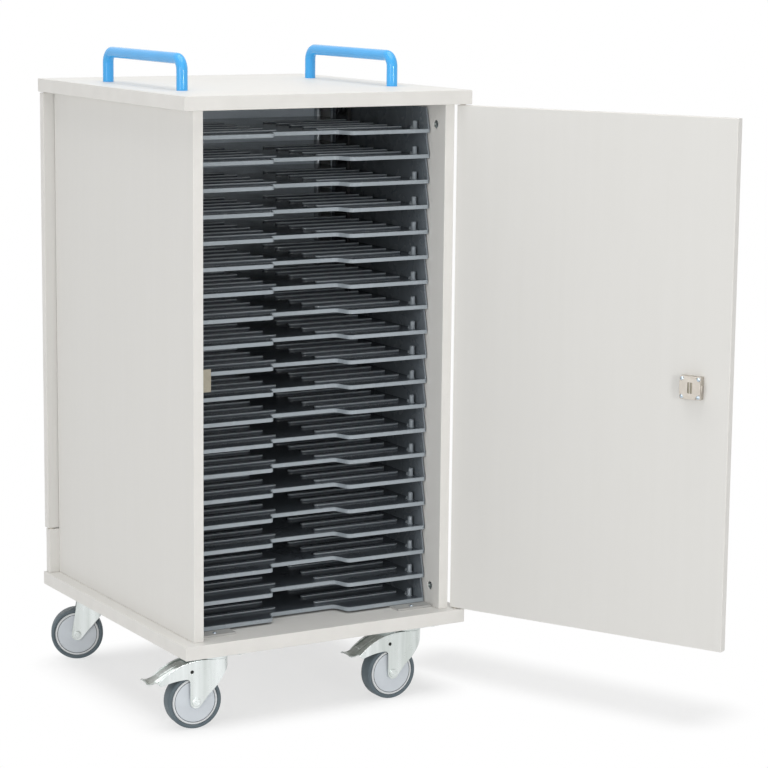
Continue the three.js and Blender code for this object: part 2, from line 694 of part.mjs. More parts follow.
// Where the fork's slanting front edge starts at the apron and touches the ear round the axle.
function forkSlant() {
  const apron = [-CROWN_RADIUS, WHEEL_RADIUS + APRON_RISE];
  const across = apron[0] - TRAIL;
  const up = APRON_RISE;
  const angle = Math.atan2(up, across) + Math.acos(EAR_RADIUS / Math.hypot(across, up));
  const ear = [TRAIL + EAR_RADIUS * Math.cos(angle), WHEEL_RADIUS + EAR_RADIUS * Math.sin(angle)];
  const slope = (ear[1] - apron[1]) / (ear[0] - apron[0]);
  return { angle, ear, heightAt: (x) => apron[1] + (x - apron[0]) * slope };
}

// One side sheet of the fork, seen from the side, with a long arm behind the wheel if it is braked.
function forkSide(braked) {
  const at = (back, up) => [TRAIL + back, WHEEL_RADIUS + up];
  const slant = forkSlant();
  const frontX = -Math.sqrt(CROWN_RADIUS ** 2 - FORK_OUTER ** 2);
  const shape = new THREE.Shape();
  shape.moveTo(...at(EAR_RADIUS, 0));
  if (braked) {
    const armStart = EAR_RADIUS + ARM_CORNER;
    const armEnd = ARM_REACH - ARM_NOSE;
    const armMiddle = (armStart + armEnd) / 2;
    shape.lineTo(...at(EAR_RADIUS, ARM_UNDERSIDE - ARM_CORNER));
    shape.quadraticCurveTo(...at(EAR_RADIUS, ARM_UNDERSIDE), ...at(armStart, ARM_UNDERSIDE));
    shape.quadraticCurveTo(...at(armMiddle, ARM_UNDERSIDE), ...at(armEnd, ARM_RISE - ARM_NOSE));
    shape.lineTo(...at(ARM_REACH, ARM_RISE));
    shape.quadraticCurveTo(...at(ARM_REACH / 2, CROWN_RISE), ...at(-EAR_RADIUS, CROWN_RISE));
  } else {
    const rearEdge = EAR_RADIUS - FORK_LEAN;
    shape.lineTo(...at(rearEdge, CROWN_RISE - FORK_SHOULDER));
    shape.quadraticCurveTo(...at(rearEdge, CROWN_RISE), ...at(-EAR_RADIUS, CROWN_RISE));
  }
  shape.lineTo(frontX, FORK_TOP);
  shape.lineTo(frontX, slant.heightAt(frontX));
  shape.lineTo(...slant.ear);
  shape.absarc(TRAIL, WHEEL_RADIUS, EAR_RADIUS, slant.angle, 2 * Math.PI, false);
  return shape;
}

function crownPlan() {
  const meet = Math.asin(FORK_OUTER / CROWN_RADIUS);
  const shape = new THREE.Shape();
  shape.moveTo(TRAIL - EAR_RADIUS, -FORK_OUTER);
  shape.lineTo(TRAIL - EAR_RADIUS, FORK_OUTER);
  shape.absarc(0, 0, CROWN_RADIUS, meet, 2 * Math.PI - meet, false);
  return shape;
}

function apronPlan() {
  const from = Math.PI / 2;
  const to = 1.5 * Math.PI;
  const shape = new THREE.Shape();
  shape.absarc(0, 0, CROWN_RADIUS, from, to, false);
  shape.absarc(0, 0, CROWN_RADIUS - FORK_SHEET, to, from, true);
  return shape;
}

function axle() {
  const end = FORK_OUTER + AXLE_HEAD;
  const profile = [
    [0, -end],
    [AXLE_HEAD_RADIUS, -end],
    [AXLE_HEAD_RADIUS, -FORK_OUTER],
    [AXLE_RADIUS, -FORK_OUTER],
    [AXLE_RADIUS, FORK_OUTER],
    [AXLE_HEAD_RADIUS, FORK_OUTER],
    [AXLE_HEAD_RADIUS, end],
    [0, end],
  ];
  return turnedY(profile, TRAIL, WHEEL_RADIUS, SMALL_SIDES);
}

// Plan of the pressed ridge on one side of the fork, +1 or -1.
function ridgePlan(side) {
  const end = RIDGE_START + RIDGE_WIDTH;
  const root = side * (FORK_OUTER - PAST);
  const face = side * FORK_OUTER;
  const crest = side * (FORK_OUTER + RIDGE_PROUD);
  return outline([
    [RIDGE_START, root],
    [end, root],
    [end, face],
    [end - RIDGE_PROUD, crest],
    [RIDGE_START + RIDGE_PROUD, crest],
    [RIDGE_START, face],
  ]);
}

// Pressed fork: crown, two sides, apron, a ridge down each side, and the axle riveted in.
function fork(braked) {
  const slant = forkSlant();
  const side = forkSide(braked);
  const far = -2 * CROWN_RADIUS;
  const below = outline([[far, slant.heightAt(far)], [far, 0], [slant.ear[0], 0], slant.ear]);
  const ridgeTop = FORK_TOP - RIDGE_PROUD;
  const sheets = joined([
    raised(crownPlan(), FORK_TOP - CROWN_SHEET, FORK_TOP),
    raised(apronPlan(), WHEEL_RADIUS, FORK_TOP),
    acrossY(side, FORK_INNER, FORK_OUTER),
    acrossY(side, -FORK_OUTER, -FORK_INNER),
    raised(ridgePlan(1), WHEEL_RADIUS, ridgeTop),
    raised(ridgePlan(-1), WHEEL_RADIUS, ridgeTop),
  ]);
  const rivetBore = turnedZ(
    rodProfile(RIVET_RADIUS + RUNNING_GAP, FORK_TOP - CROWN_SHEET - PAST, FORK_TOP + PAST),
    0,
    0,
    SMALL_SIDES,
  );
  const cuts = [rivetBore, acrossY(below, -2 * FORK_OUTER, 2 * FORK_OUTER)];
  if (braked) cuts.push(pedalPin(PEDAL_PIN + RUNNING_GAP, FORK_OUTER + PAST));
  return cutBy(sheets, cuts).add(axle());
}

function pedalPin(radius, reach) {
  const profile = rodProfile(radius, -reach, reach);
  return turnedY(profile, TRAIL + PEDAL_PIN_BACK, WHEEL_RADIUS + PEDAL_PIN_RISE, SMALL_SIDES);
}

// Height above the axle of a point behind it that clears the tyre by air.
function overTyre(back, air) {
  return Math.sqrt((WHEEL_RADIUS + air) ** 2 - back ** 2);
}

// Brake pedal: a bent channel between the fork's arms, on a pin through both fork sides. The side
// sheets' lower edges are the brake shoe.
function pedal() {
  const at = (back, up) => [TRAIL + back, WHEEL_RADIUS + up];
  const front = PEDAL_PIN_BACK - PEDAL_EYE;
  const eyeTop = PEDAL_PIN_RISE + PEDAL_EYE;
  const bend = PEDAL_REACH - PEDAL_TREAD;
  const treadBottom = PEDAL_TREAD_RISE - PEDAL_SHEET;
  const channel = outline([
    at(front, eyeTop),
    at(PEDAL_HUMP_BACK, PEDAL_HUMP_RISE),
    at(bend, PEDAL_TREAD_RISE),
    at(PEDAL_REACH, PEDAL_TREAD_RISE),
    at(PEDAL_REACH, treadBottom),
    at(bend, treadBottom),
    at(SHOE_BACK, overTyre(SHOE_BACK, SHOE_AIR)),
    at(front, overTyre(front, SHOE_FRONT_AIR)),
  ]);
  const slope = (PEDAL_HUMP_RISE - PEDAL_TREAD_RISE) / (bend - PEDAL_HUMP_BACK);
  const skin = PEDAL_SHEET * Math.hypot(1, slope);
  const rear = bend - 2 * PEDAL_SHEET;
  const hollow = outline([
    at(front - PAST, eyeTop - skin),
    at(PEDAL_HUMP_BACK, PEDAL_HUMP_RISE - skin),
    at(rear, PEDAL_TREAD_RISE + slope * (bend - rear) - skin),
    at(rear, 0),
    at(front - PAST, 0),
  ]);
  const half = FORK_INNER - PEDAL_AIR;
  const inside = acrossY(hollow, PEDAL_SHEET - half, half - PEDAL_SHEET);
  const shell = acrossY(channel, -half, half).subtract(inside);
  return shell.add(pedalPin(PEDAL_PIN, FORK_OUTER));
}

function hub() {
  const boss = HUB_BOSS_WIDTH / 2;
  const rim = HUB_RIM_WIDTH / 2;
  const bore = AXLE_RADIUS + RUNNING_GAP;
  const profile = [[bore, -boss], [HUB_RADIUS, -rim], [HUB_RADIUS, rim], [bore, boss], [bore, -boss]];
  return turnedY(profile, TRAIL, WHEEL_RADIUS);
}

function tyre() {
  const inner = HUB_RADIUS + SEAT_GAP;
  const half = TYRE_WIDTH / 2;
  const rim = HUB_RIM_WIDTH / 2;
  const tread = TREAD_WIDTH / 2;
  const shoulder = WHEEL_RADIUS - TYRE_SHOULDER;
  const profile = [
    [inner, -rim],
    [shoulder, -half],
    [WHEEL_RADIUS, -tread],
    [WHEEL_RADIUS, tread],
    [shoulder, half],
    [inner, rim],
    [inner, -rim],
  ];
  return turnedY(profile, TRAIL, WHEEL_RADIUS);
}

function addCasters() {
  for (const { name, side, end, yaw, braked } of CASTERS) {
    const x = side * (WIDTH / 2 - CASTER_INSET_X);
    const y = end * (DEPTH / 2 - CASTER_INSET_Y);
    const fixed = hung(x, y, 0);
    const swivel = hung(x, y, yaw);
    place(fixed, `caster_plate_${name}`, casterPlate(), "zinc");
    place(swivel, `caster_fork_${name}`, fork(braked), "zinc");
    place(swivel, `caster_hub_${name}`, hub(), "hub");
    place(swivel, `caster_tyre_${name}`, tyre(), "tyre");
    if (braked) place(swivel, `brake_pedal_${name}`, pedal(), "zinc");
  }
}

addBoards();
addRearRailAndInlet();
addPivotPins();
addFrontDoor();
addStrike();
addRearDoor();
addTrays();
addHandles();
addPowerStrip();
addCasters();

export default cart;
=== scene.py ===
# Looks of a laptop charging cart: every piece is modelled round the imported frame, in metres, with +Z
# up, the front towards -Y and the origin on the floor below the middle of the cabinet.
import json
import math

import bmesh
import bpy
from mathutils import Matrix, Vector


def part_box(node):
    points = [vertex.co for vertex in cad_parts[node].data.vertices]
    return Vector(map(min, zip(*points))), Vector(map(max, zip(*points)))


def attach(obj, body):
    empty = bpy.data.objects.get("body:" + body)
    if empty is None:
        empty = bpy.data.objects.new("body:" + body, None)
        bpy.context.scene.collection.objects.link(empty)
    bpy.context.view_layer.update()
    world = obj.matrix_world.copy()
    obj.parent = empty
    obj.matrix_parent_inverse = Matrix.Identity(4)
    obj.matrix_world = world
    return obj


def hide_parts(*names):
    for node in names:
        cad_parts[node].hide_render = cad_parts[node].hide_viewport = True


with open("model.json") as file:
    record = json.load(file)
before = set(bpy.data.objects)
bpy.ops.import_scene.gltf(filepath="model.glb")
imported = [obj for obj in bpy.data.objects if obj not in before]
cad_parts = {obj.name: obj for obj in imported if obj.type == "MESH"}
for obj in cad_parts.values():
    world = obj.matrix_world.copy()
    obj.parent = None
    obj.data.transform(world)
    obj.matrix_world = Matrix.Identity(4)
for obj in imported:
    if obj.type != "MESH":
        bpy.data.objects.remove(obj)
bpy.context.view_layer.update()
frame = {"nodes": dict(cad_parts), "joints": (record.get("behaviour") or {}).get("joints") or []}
joints = {joint["name"]: joint for joint in frame["joints"]}

MM = 0.001
X, Y, Z = Vector((1, 0, 0)), Vector((0, 1, 0)), Vector((0, 0, 1))
QUARTER = math.pi / 2
MERGE = 0.01 * MM  # points closer than this are one
SEAT = 0.3 * MM  # between a piece and what it sits on
THROUGH = 20 * MM  # how far a cutting tool reaches past what it cuts

# Boards
EDGING = 1.6 * MM  # tape round a board's edges, seen on its face
BOARD_ROUND = 1.1 * MM
FITTING_RADIUS = 7.5 * MM  # cam fittings in the side panels
FITTING_AIR = 0.4 * MM
FITTING_POCKET = 3 * MM
FITTING_SINK = 0.5 * MM
FITTING_SLOT = 0.4 * MM  # middle of the slot's cutter below the fitting's face
FITTING_INSET = 33 * MM  # from the panel's front or rear edge
FITTING_RISE = 38 * MM  # from the panel's top or bottom edge

# Locks
LOCK_HALF = 20 * MM  # half the square case
LOCK_DEPTH = 14 * MM
LOCK_COVER = 1.6 * MM  # plate on the case, with its corners cut out round the screws
LOCK_COVER_SINK = 0.2 * MM  # cover's underside below the case's face
LOCK_NOTCH = 9 * MM
LOCK_SCREW_IN = 4.6 * MM  # screw's middle in from the case's edges
LOCK_SLOT = (1.8 * MM, 9.5 * MM)  # half width and half height of the slots in the cover
LOCK_SLOT_DEPTH = 1.4 * MM
LOCK_SLOT_APART = 2.6 * MM  # slot's middle from the cover's middle
BOLT = Vector((30 * MM, 4.6 * MM, 12 * MM))  # length, thickness, height
BOLT_PROUD = 2 * MM  # out of the case
BOLT_IN = 2.6 * MM  # below the case's face
BOLT_EASE = 0.9 * MM
BARREL = 9 * MM  # lock cylinder's radius
BARREL_REACH = 5 * MM  # into the lock case
BARREL_GROOVE = 0.35 * MM
BARREL_RING = (1.5 * MM, 1.2 * MM, 0.6 * MM, 0.3 * MM)  # groove's lips and floor, in from the radius
ROSETTE = 11 * MM
ROSETTE_PROUD = 1.2 * MM
ROSETTE_EASE = 0.5 * MM
KEYHOLE = (2 * MM, 6 * MM, 8 * MM)  # width, depth, height
STRIKE_SHEET = 2.5 * MM
STRIKE_SCREW = (3 * MM, 11 * MM)  # behind the plate's middle, and above and below it
CAM_SHEET = 2.5 * MM
CAM_HALF = 6 * MM
CAM_AIR = 3.5 * MM  # round the cam in the side panel's slot
SCREW_RADIUS = 3.8 * MM
SCREW_HEAD = 2 * MM

# Trays
TRAY_COUNT = 20
LIP = (7 * MM, 4 * MM)  # height and thickness of the front lip
LIP_ROUND = 1.3 * MM
FLOOR = (2 * MM, 5 * MM)  # underside and top of the tray's floor
WALL = 3 * MM
WALL_ROUND = 0.7 * MM
WALL_SLANT = 10 * MM
WALL_SHORT = 57 * MM  # side walls end ahead of the tray's rear
WALL_END = 2.5 * MM  # bead at that end
BACK_HALF = 230 * MM
BACK_ROUND = 0.8 * MM
BACK_DROP = 7 * MM
COLUMN = 6 * MM  # round corner between back and side walls
RECESS = (84 * MM, 60 * MM, 33 * MM, 15 * MM)  # half mouth, half back, depth, ease of the flanks
RIB_ENDS = (40 * MM, 217 * MM)
RIB_WIDTH = 10 * MM
RIB_HEIGHT = 4 * MM
RIB_POINT = 1.1  # length of a rib's pointed end, in rib widths
RIB_RIM = 2.6 * MM  # round the sunk field on a rib
RIB_SINK = 1.6 * MM
RIB_ROUND = 1.2 * MM
RIB_FIRST = 64 * MM
RIB_PITCH = 51 * MM
RIB_ROWS = 5
PEG_RADIUS = 4.5 * MM
PEG_HEIGHT = 15 * MM
PEG_FOOT = 1.5 * MM
PEG_BUMP = 2.6 * MM
PEG_BUMP_BACK = 11 * MM  # bump's middle behind the peg's
PEG_IN = 9 * MM  # peg's middle in from the side wall
PEG_BACK = 33 * MM  # peg's middle behind the lip
CLIP_BACK = (282 * MM, 330 * MM)  # cable clip along the side wall, behind the lip
CLIP_DEPTH = 7 * MM
CLIP_HEIGHT = 26 * MM
CLIP_HOOKS = 3
CLIP_HOLE = 3.4 * MM
CLIP_ROUND = 0.8 * MM
RUNNER_RIM = 5 * MM
RUNNER_SINK = 0.7 * MM
RUNNER_ROUND = 0.6 * MM
RUNNER_SCREWS = (14 * MM, 400 * MM)  # behind the runner's front

# Handles
TUBE = 10 * MM
TUBE_BEND = 20 * MM
TUBE_SIDES = 28
TUBE_BEND_STEPS = 12

# Casters: swivel axis at x = y = 0, wheel trailing to +X
TRAIL = 40 * MM
AXLE = 50 * MM  # height above the floor, the wheel's radius
AXLE_ROD = (6 * MM, 19 * MM)  # radius and half length
FORK_INNER = 18 * MM
FORK_OUTER = 20.5 * MM
FORK_BLANK = (35 * MM, 100 * MM)  # foot and height of its sheet before it is cut to its side view
FORK_CUT = 40 * MM  # half width of the tool for that
FORK_SPARE = 2 * MM  # sheet past the arm's tip, cut off
FORK_FLAT = 18 * MM  # flat sides start here, behind the swivel axis
FORK_SWELL = (4 * MM, 3 * MM)  # pull of the curve from there to the apron, at its two ends
FORK_WRAP = 66  # degrees from the rear, where the round apron starts
FORK_SHOULDER = 10 * MM  # drop of an unbraked fork's rounded top corner
FORK_ROUND = 0.6 * MM
CROWN = 25 * MM
CROWN_TOP = 126 * MM
CROWN_SHEET = 3 * MM
CROWN_ROUND = 1.4 * MM
CROWN_IN = (0.4 * MM, 0.3 * MM)  # its rim inside the sheet's outer face, round the front and beside it
EAR = 11 * MM
APRON_LOW = 112 * MM  # apron's lower edge at the front
ARM_TIP = (112 * MM, 91 * MM)
ARM_UNDER = 93 * MM  # arm's lower edge where it leaves the fork
ARM_CORNER = 8 * MM
ARM_NOSE = 6.5 * MM
ARM_SWEEP = (82 * MM, 76 * MM)  # where the arm's lower and upper edge turn down
ROLL = 1.5 * MM  # rolled rim along the arm's upper edge
ROLL_DROP = 0.9 * MM
ROLL_IN = 0.5 * MM
PIN = (47.5 * MM, 106 * MM)  # pedal's pin, from the swivel axis and the floor
PIN_HOLE = (3.2 * MM, 30 * MM)  # radius, and half length of the drill
PIN_SIZE = (2.9 * MM, 17.5 * MM)  # radius and half length
PEDAL_HALF = 17.2 * MM
PEDAL_FLAT = 11.5 * MM  # half width of the flat between the sloped shoulders
PEDAL_SLOPE = 5.5 * MM
PEDAL_SHEET = 2.4 * MM
PEDAL_ROUND = 0.7 * MM
PEDAL_FIELD = (66 * MM, 110 * MM)  # pressed field, from the swivel axis
PEDAL_FIELD_RIM = 3 * MM
PEDAL_FIELD_SLOPE = 1.4 * MM
PEDAL_PRESS = (0.7 * MM, 0, 1.5 * MM)
PEDAL_EARS = 70 * MM  # ears round the pin end here
PEDAL_EAR_DROP = 7 * MM
PEDAL_TREAD = 112 * MM  # shoulders are flatter behind here
PEDAL_END = 132 * MM
PLATE_HALF = (42.5 * MM, 52.5 * MM)
PLATE_CORNER = 8 * MM
PLATE_SHEET = 4 * MM
PLATE_ROUND = 0.7 * MM
BOLT_SPOTS = [(x * 30 * MM, y * 40 * MM) for x in (-1, 1) for y in (-1, 1)]
HUB_GROOVE = (37.2 * MM, 38.3 * MM)  # from and to this radius

# Rear compartment
STRIP_ROUND = 1.5 * MM
SOCKET_HALF = 14 * MM
SOCKET_DEPTH = 3 * MM
SOCKET_PROUD = 0.4 * MM
SOCKET_RIM = 2 * MM
SOCKET_WELL = 2.4 * MM
SOCKET_FACE_RIM = 1.5 * MM
SOCKET_HOLE = (2.4 * MM, 6 * MM)  # radius, and the hole's middle from the socket's
SOCKET_DRILL = (2 * MM, 4 * MM)  # drill's middle below the strip's face, and its half length
INLET_FLANGE = 2.5 * MM
INLET_CORNER = 5 * MM
INLET_ROUND = 0.6 * MM
INLET_LAP = 7 * MM  # flange past the panel's opening
INLET_BODY = (14 * MM, 10 * MM)  # half width and half height
INLET_POCKET = (11.5 * MM, 7.5 * MM, 14 * MM)  # half width, half height, depth
INLET_PIN = Vector((2 * MM, 11 * MM, 4 * MM))
INLET_PINS = ((-6.5 * MM, -1.5 * MM), (0, 2 * MM), (6.5 * MM, -1.5 * MM))
INLET_PIN_ROOT = 14.5 * MM  # below the flange's face
INLET_SCREW = 18.5 * MM  # from the inlet's middle
SMALL_ROUND = 0.5 * MM  # eased edges of small hardware
FINE_ROUND = 0.4 * MM

# Modelling with operators


def deselect():
    if bpy.context.mode != "OBJECT":
        bpy.ops.object.mode_set(mode="OBJECT")
    bpy.ops.object.select_all(action="DESELECT")


def activate(piece):
    deselect()
    piece.select_set(True)
    bpy.context.view_layer.objects.active = piece


def edit(piece):
    activate(piece)
    bpy.ops.object.mode_set(mode="EDIT")
    bpy.ops.mesh.select_mode(type="VERT")
    bpy.ops.mesh.select_all(action="SELECT")


def pick(piece, kind, test):
    """Selects the faces, edges or vertices of the edited piece that pass the test."""
    bpy.ops.mesh.select_mode(type=kind)
    bpy.ops.mesh.select_all(action="DESELECT")
    mesh = bmesh.from_edit_mesh(piece.data)
    for part in {"FACE": mesh.faces, "EDGE": mesh.edges, "VERT": mesh.verts}[kind]:
        part.select_set(test(part))
    mesh.select_flush_mode()
    bmesh.update_edit_mesh(piece.data)


def pull_edges(along):
    bpy.ops.mesh.extrude_edges_move(TRANSFORM_OT_translate={"value": along})


def pull_faces(along):
    bpy.ops.mesh.extrude_region_move(TRANSFORM_OT_translate={"value": along})


def tidied(piece):
    """Merges doubles and points the faces outwards."""
    edit(piece)
    bpy.ops.mesh.remove_doubles(threshold=MERGE)
    bpy.ops.mesh.normals_make_consistent(inside=False)
    deselect()
    return piece


def applied(piece, kind, **settings):
    activate(piece)
    modifier = piece.modifiers.new("step", kind)
    for key, value in settings.items():
        setattr(modifier, key, value)
    bpy.ops.object.modifier_apply(modifier=modifier.name)
    return piece


def rounded(piece, width, segments=2, angle=40):
    """Rounds the edges that are sharper than the angle."""
    activate(piece)
    bpy.ops.object.shade_smooth()
    limit = {"limit_method": "ANGLE", "angle_limit": math.radians(angle)}
    return applied(piece, "BEVEL", width=width, segments=segments, harden_normals=True, **limit)


def smooth(piece, angle=35):
    activate(piece)
    bpy.ops.object.shade_smooth_by_angle(angle=math.radians(angle))
    return piece


def sunk(piece, rim, depth):
    """Sinks the faces that look up, inside a rim."""
    edit(piece)
    pick(piece, "FACE", lambda face: face.normal.z > 0.9)
    bpy.ops.mesh.inset(thickness=rim)
    bpy.ops.transform.translate(value=-depth * Z)
    deselect()
    return piece


def block(name, low, high):
    low, high = Vector(low), Vector(high)
    deselect()
    bpy.ops.mesh.primitive_cube_add(size=1, location=(low + high) / 2, scale=high - low)
    piece = bpy.context.object
    piece.name = name
    bpy.ops.object.transform_apply(location=True, rotation=True, scale=True)
    return piece


def traced(name, points):
    """A line of edges, drawn from point to point."""
    points = [Vector(point) for point in points]
    deselect()
    bpy.ops.mesh.primitive_plane_add(size=MM)
    piece = bpy.context.object
    piece.name = name
    edit(piece)
    bpy.ops.mesh.merge(type="CENTER")
    bpy.ops.transform.translate(value=points[0])
    for start, end in zip(points, points[1:]):
        bpy.ops.mesh.extrude_vertices_move(TRANSFORM_OT_translate={"value": end - start})
    bpy.ops.mesh.select_all(action="SELECT")
    return piece


def plate(name, outline, thickness):
    """A flat outline, filled and extruded by a vector."""
    outline = [Vector(point) for point in outline]
    piece = traced(name, outline + outline[:1])
    bpy.ops.mesh.remove_doubles(threshold=MERGE)
    bpy.ops.mesh.edge_face_add()
    pull_faces(thickness)
    return tidied(piece)


def spun(name, profile, axis, centre=(0, 0, 0), steps=48, angle=35):
    """A profile of (radius, distance along the axis), spun all the way round."""
    centre = Vector(centre)
    out = Y if axis.x else X
    piece = traced(name, [centre + radius * out + along * axis for radius, along in profile])
    bpy.ops.mesh.spin(steps=steps, angle=2 * math.pi, center=centre, axis=axis)
    return smooth(tidied(piece), angle)


def bead(name, points, radius):
    """A round wire along a line."""
    wire = bpy.data.curves.new(name, "CURVE")
    wire.dimensions = "3D"
    wire.bevel_depth = radius
    wire.bevel_resolution = 3
    wire.use_fill_caps = True
    line = wire.splines.new("POLY")
    line.points.add(len(points) - 1)
    for spot, point in zip(line.points, points):
        spot.co = (*point, 1)
    piece = bpy.data.objects.new(name, wire)
    bpy.context.scene.collection.objects.link(piece)
    activate(piece)
    bpy.ops.object.convert(target="MESH")
    return smooth(tidied(bpy.context.object), 60)


def cut(piece, *tools, operation="DIFFERENCE"):
    for tool in tools:
        applied(piece, "BOOLEAN", operation=operation, object=tool, solver="EXACT")
        bpy.data.objects.remove(tool)
    return piece


def moved(piece, matrix):
    activate(piece)
    piece.matrix_world = matrix @ piece.matrix_world
    bpy.ops.object.transform_apply(location=True, rotation=True, scale=True)
    return piece


def copied(piece, name, matrix=Matrix()):
    activate(piece)
    bpy.ops.object.duplicate()
    copy = bpy.context.object
    copy.name = name
    return moved(copy, matrix)


def stacked(piece, name, pitch):
    """The piece and its copies, one for each tray."""
    return [piece] + [copied(piece, name, shift(z=i * pitch)) for i in range(1, TRAY_COUNT)]


def mirrored(piece, name, axis):
    scale = Matrix.Diagonal([1 - 2 * abs(value) for value in axis]).to_4x4()
    return tidied(copied(piece, name, scale))


def joined(name, pieces):
    deselect()
    for piece in pieces:
        piece.select_set(True)
    bpy.context.view_layer.objects.active = pieces[0]
    bpy.ops.object.join()
    pieces[0].name = name
    return pieces[0]


def painted(piece, *finishes):
    piece.data.materials.clear()
    for finish in finishes:
        piece.data.materials.append(finish)
    return piece


def faced(piece, index, test):
    """Gives the faces that pass the test the piece's finish of that index."""
    for face in piece.data.polygons:
        if test(face):
            face.material_index = index
    return piece


def dress(piece, body, slot, *nodes):
    deselect()
    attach(piece, body)
    if nodes:
        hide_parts(*nodes)
    return piece


def shift(x=0.0, y=0.0, z=0.0):
    return Matrix.Translation((x, y, z))


def turn(angle):
    return Matrix.Rotation(angle, 4, "Z")


def mm(*points):
    """Points given in millimetres."""
    return [(a * MM, b * MM) for a, b in points]


def drum(radius, start, end):
    """Profile of a plain cylinder."""
    return [(0, start), (radius, start), (radius, end), (0, end)]


def bezier(start, first, second, end, steps):
    """Points of a cubic curve after its start."""
    points = []
    for i in range(1, steps + 1):
        t = i / steps
        a, b, c, d = (1 - t) ** 3, 3 * t * (1 - t) ** 2, 3 * t * t * (1 - t), t**3
        points.append(a * Vector(start) + b * Vector(first) + c * Vector(second) + d * Vector(end))
    return points


def curve(start, corner, end, steps):
    """Points of a quadratic curve after its start."""
    start, corner, end = Vector(start), Vector(corner), Vector(end)
    return bezier(start, start.lerp(corner, 2 / 3), end.lerp(corner, 2 / 3), end, steps)


def arc(centre, radius, start, end, steps):
    """Points of an arc in a plane, angles in radians."""
    points = []
    for i in range(steps + 1):
        angle = start + (end - start) * i / steps
        points.append(Vector(centre) + radius * Vector((math.cos(angle), math.sin(angle))))
    return points


def round_cornered(wide, tall, corner, centre=(0, 0)):
    """Outline of a rectangle with round corners, from its half width and half height."""
    outline = []
    for i, (across, up) in enumerate(((1, 1), (-1, 1), (-1, -1), (1, -1))):
        spot = (centre[0] + across * (wide - corner), centre[1] + up * (tall - corner))
        outline += arc(spot, corner, i * QUARTER, (i + 1) * QUARTER, 5)
    return outline


def in_side_view(points, y):
    return [(x, y, z) for x, z in points]


def in_plan(points, z):
    return [(x, y, z) for x, y in points]


# Finishes: node groups for what several of them share


def feed(tree, value, socket):
    """Joins another node's output to the socket, or sets the socket's own value."""
    if isinstance(value, bpy.types.NodeSocket):
        tree.links.new(value, socket)
    else:
        socket.default_value = value


def node(tree, kind, inputs=None, **settings):
    new = tree.nodes.new("ShaderNode" + kind)
    for key, value in settings.items():
        setattr(new, key, value)
    for key, value in (inputs or {}).items():
        feed(tree, value, new.inputs[key])
    return new


def noise(tree, vector, scale, detail, distortion=0.0):
    inputs = {"Vector": vector, "Scale": scale, "Detail": detail, "Distortion": distortion}
    return node(tree, "TexNoise", inputs).outputs["Fac"]


def spread(tree, value, low, high, ends=(0.0, 1.0), **settings):
    """Stretches the values between low and high to reach both ends."""
    inputs = {"Value": value, "From Min": low, "From Max": high, "To Min": ends[0], "To Max": ends[1]}
    return node(tree, "MapRange", inputs, **settings).outputs["Result"]


def maths(tree, operation, first, second):
    return node(tree, "Math", {0: first, 1: second}, operation=operation).outputs["Value"]


def mixed(tree, mask, colour, over):
    return node(tree, "Mix", {0: mask, 6: colour, 7: over}, data_type="RGBA").outputs[2]


def group(name, inputs, result, kind):
    """A node group: its tree, the values that it is given and the socket of its result."""
    tree = bpy.data.node_groups.new(name, "ShaderNodeTree")
    for label, socket in inputs.items():
        tree.interface.new_socket(label, in_out="INPUT", socket_type="NodeSocket" + socket)
    tree.interface.new_socket(result, in_out="OUTPUT", socket_type="NodeSocket" + kind)
    given = tree.nodes.new("NodeGroupInput").outputs
    return tree, given, tree.nodes.new("NodeGroupOutput").inputs[result]


def mottle_group():
    """Two close shades in soft patches."""
    inputs = {"Vector": "Vector", "Scale": "Float", "Light": "Color", "Dark": "Color"}
    tree, given, result = group("Mottle", inputs, "Colour", "Color")
    patches = spread(tree, noise(tree, given["Vector"], given["Scale"], 5), 0.32, 0.68)
    feed(tree, mixed(tree, patches, given["Dark"], given["Light"]), result)
    return tree


def grain_group():
    """Fine relief, as of a moulded, rolled or printed surface."""
    inputs = {"Vector": "Vector", "Scale": "Float", "Strength": "Float", "Distance": "Float"}
    tree, given, result = group("Grain", inputs, "Normal", "Vector")
    height = noise(tree, given["Vector"], given["Scale"], 3)
    relief = {"Height": height, "Strength": given["Strength"], "Distance": given["Distance"]}
    feed(tree, node(tree, "Bump", relief).outputs["Normal"], result)
    return tree


def smudge_group():
    """Roughness that wanders between two values, as from handling."""
    inputs = {"Vector": "Vector", "Scale": "Float", "Low": "Float", "High": "Float"}
    tree, given, result = group("Smudge", inputs, "Roughness", "Float")
    wander = noise(tree, given["Vector"], given["Scale"], 6, 0.6)
    feed(tree, spread(tree, wander, 0.3, 0.7, (given["Low"], given["High"])), result)
    return tree


def scuff_group():
    """Mask of short thin scratches, rare and patchy."""
    inputs = {"Vector": "Vector", "Scale": "Float", "Amount": "Float"}
    tree, given, result = group("Scuffs", inputs, "Mask", "Float")
    drawn = {"Vector": given["Vector"], "Scale": (1, 1, 14), "Rotation": (0.5, 0.3, 0.2)}
    stretched = node(tree, "Mapping", drawn).outputs["Vector"]
    lines = spread(tree, noise(tree, stretched, given["Scale"], 2), 0.66, 0.74)
    patches = spread(tree, noise(tree, given["Vector"], 9, 2), 0.5, 0.66)
    both = maths(tree, "MULTIPLY", lines, patches)
    feed(tree, maths(tree, "MULTIPLY", both, given["Amount"]), result)
    return tree


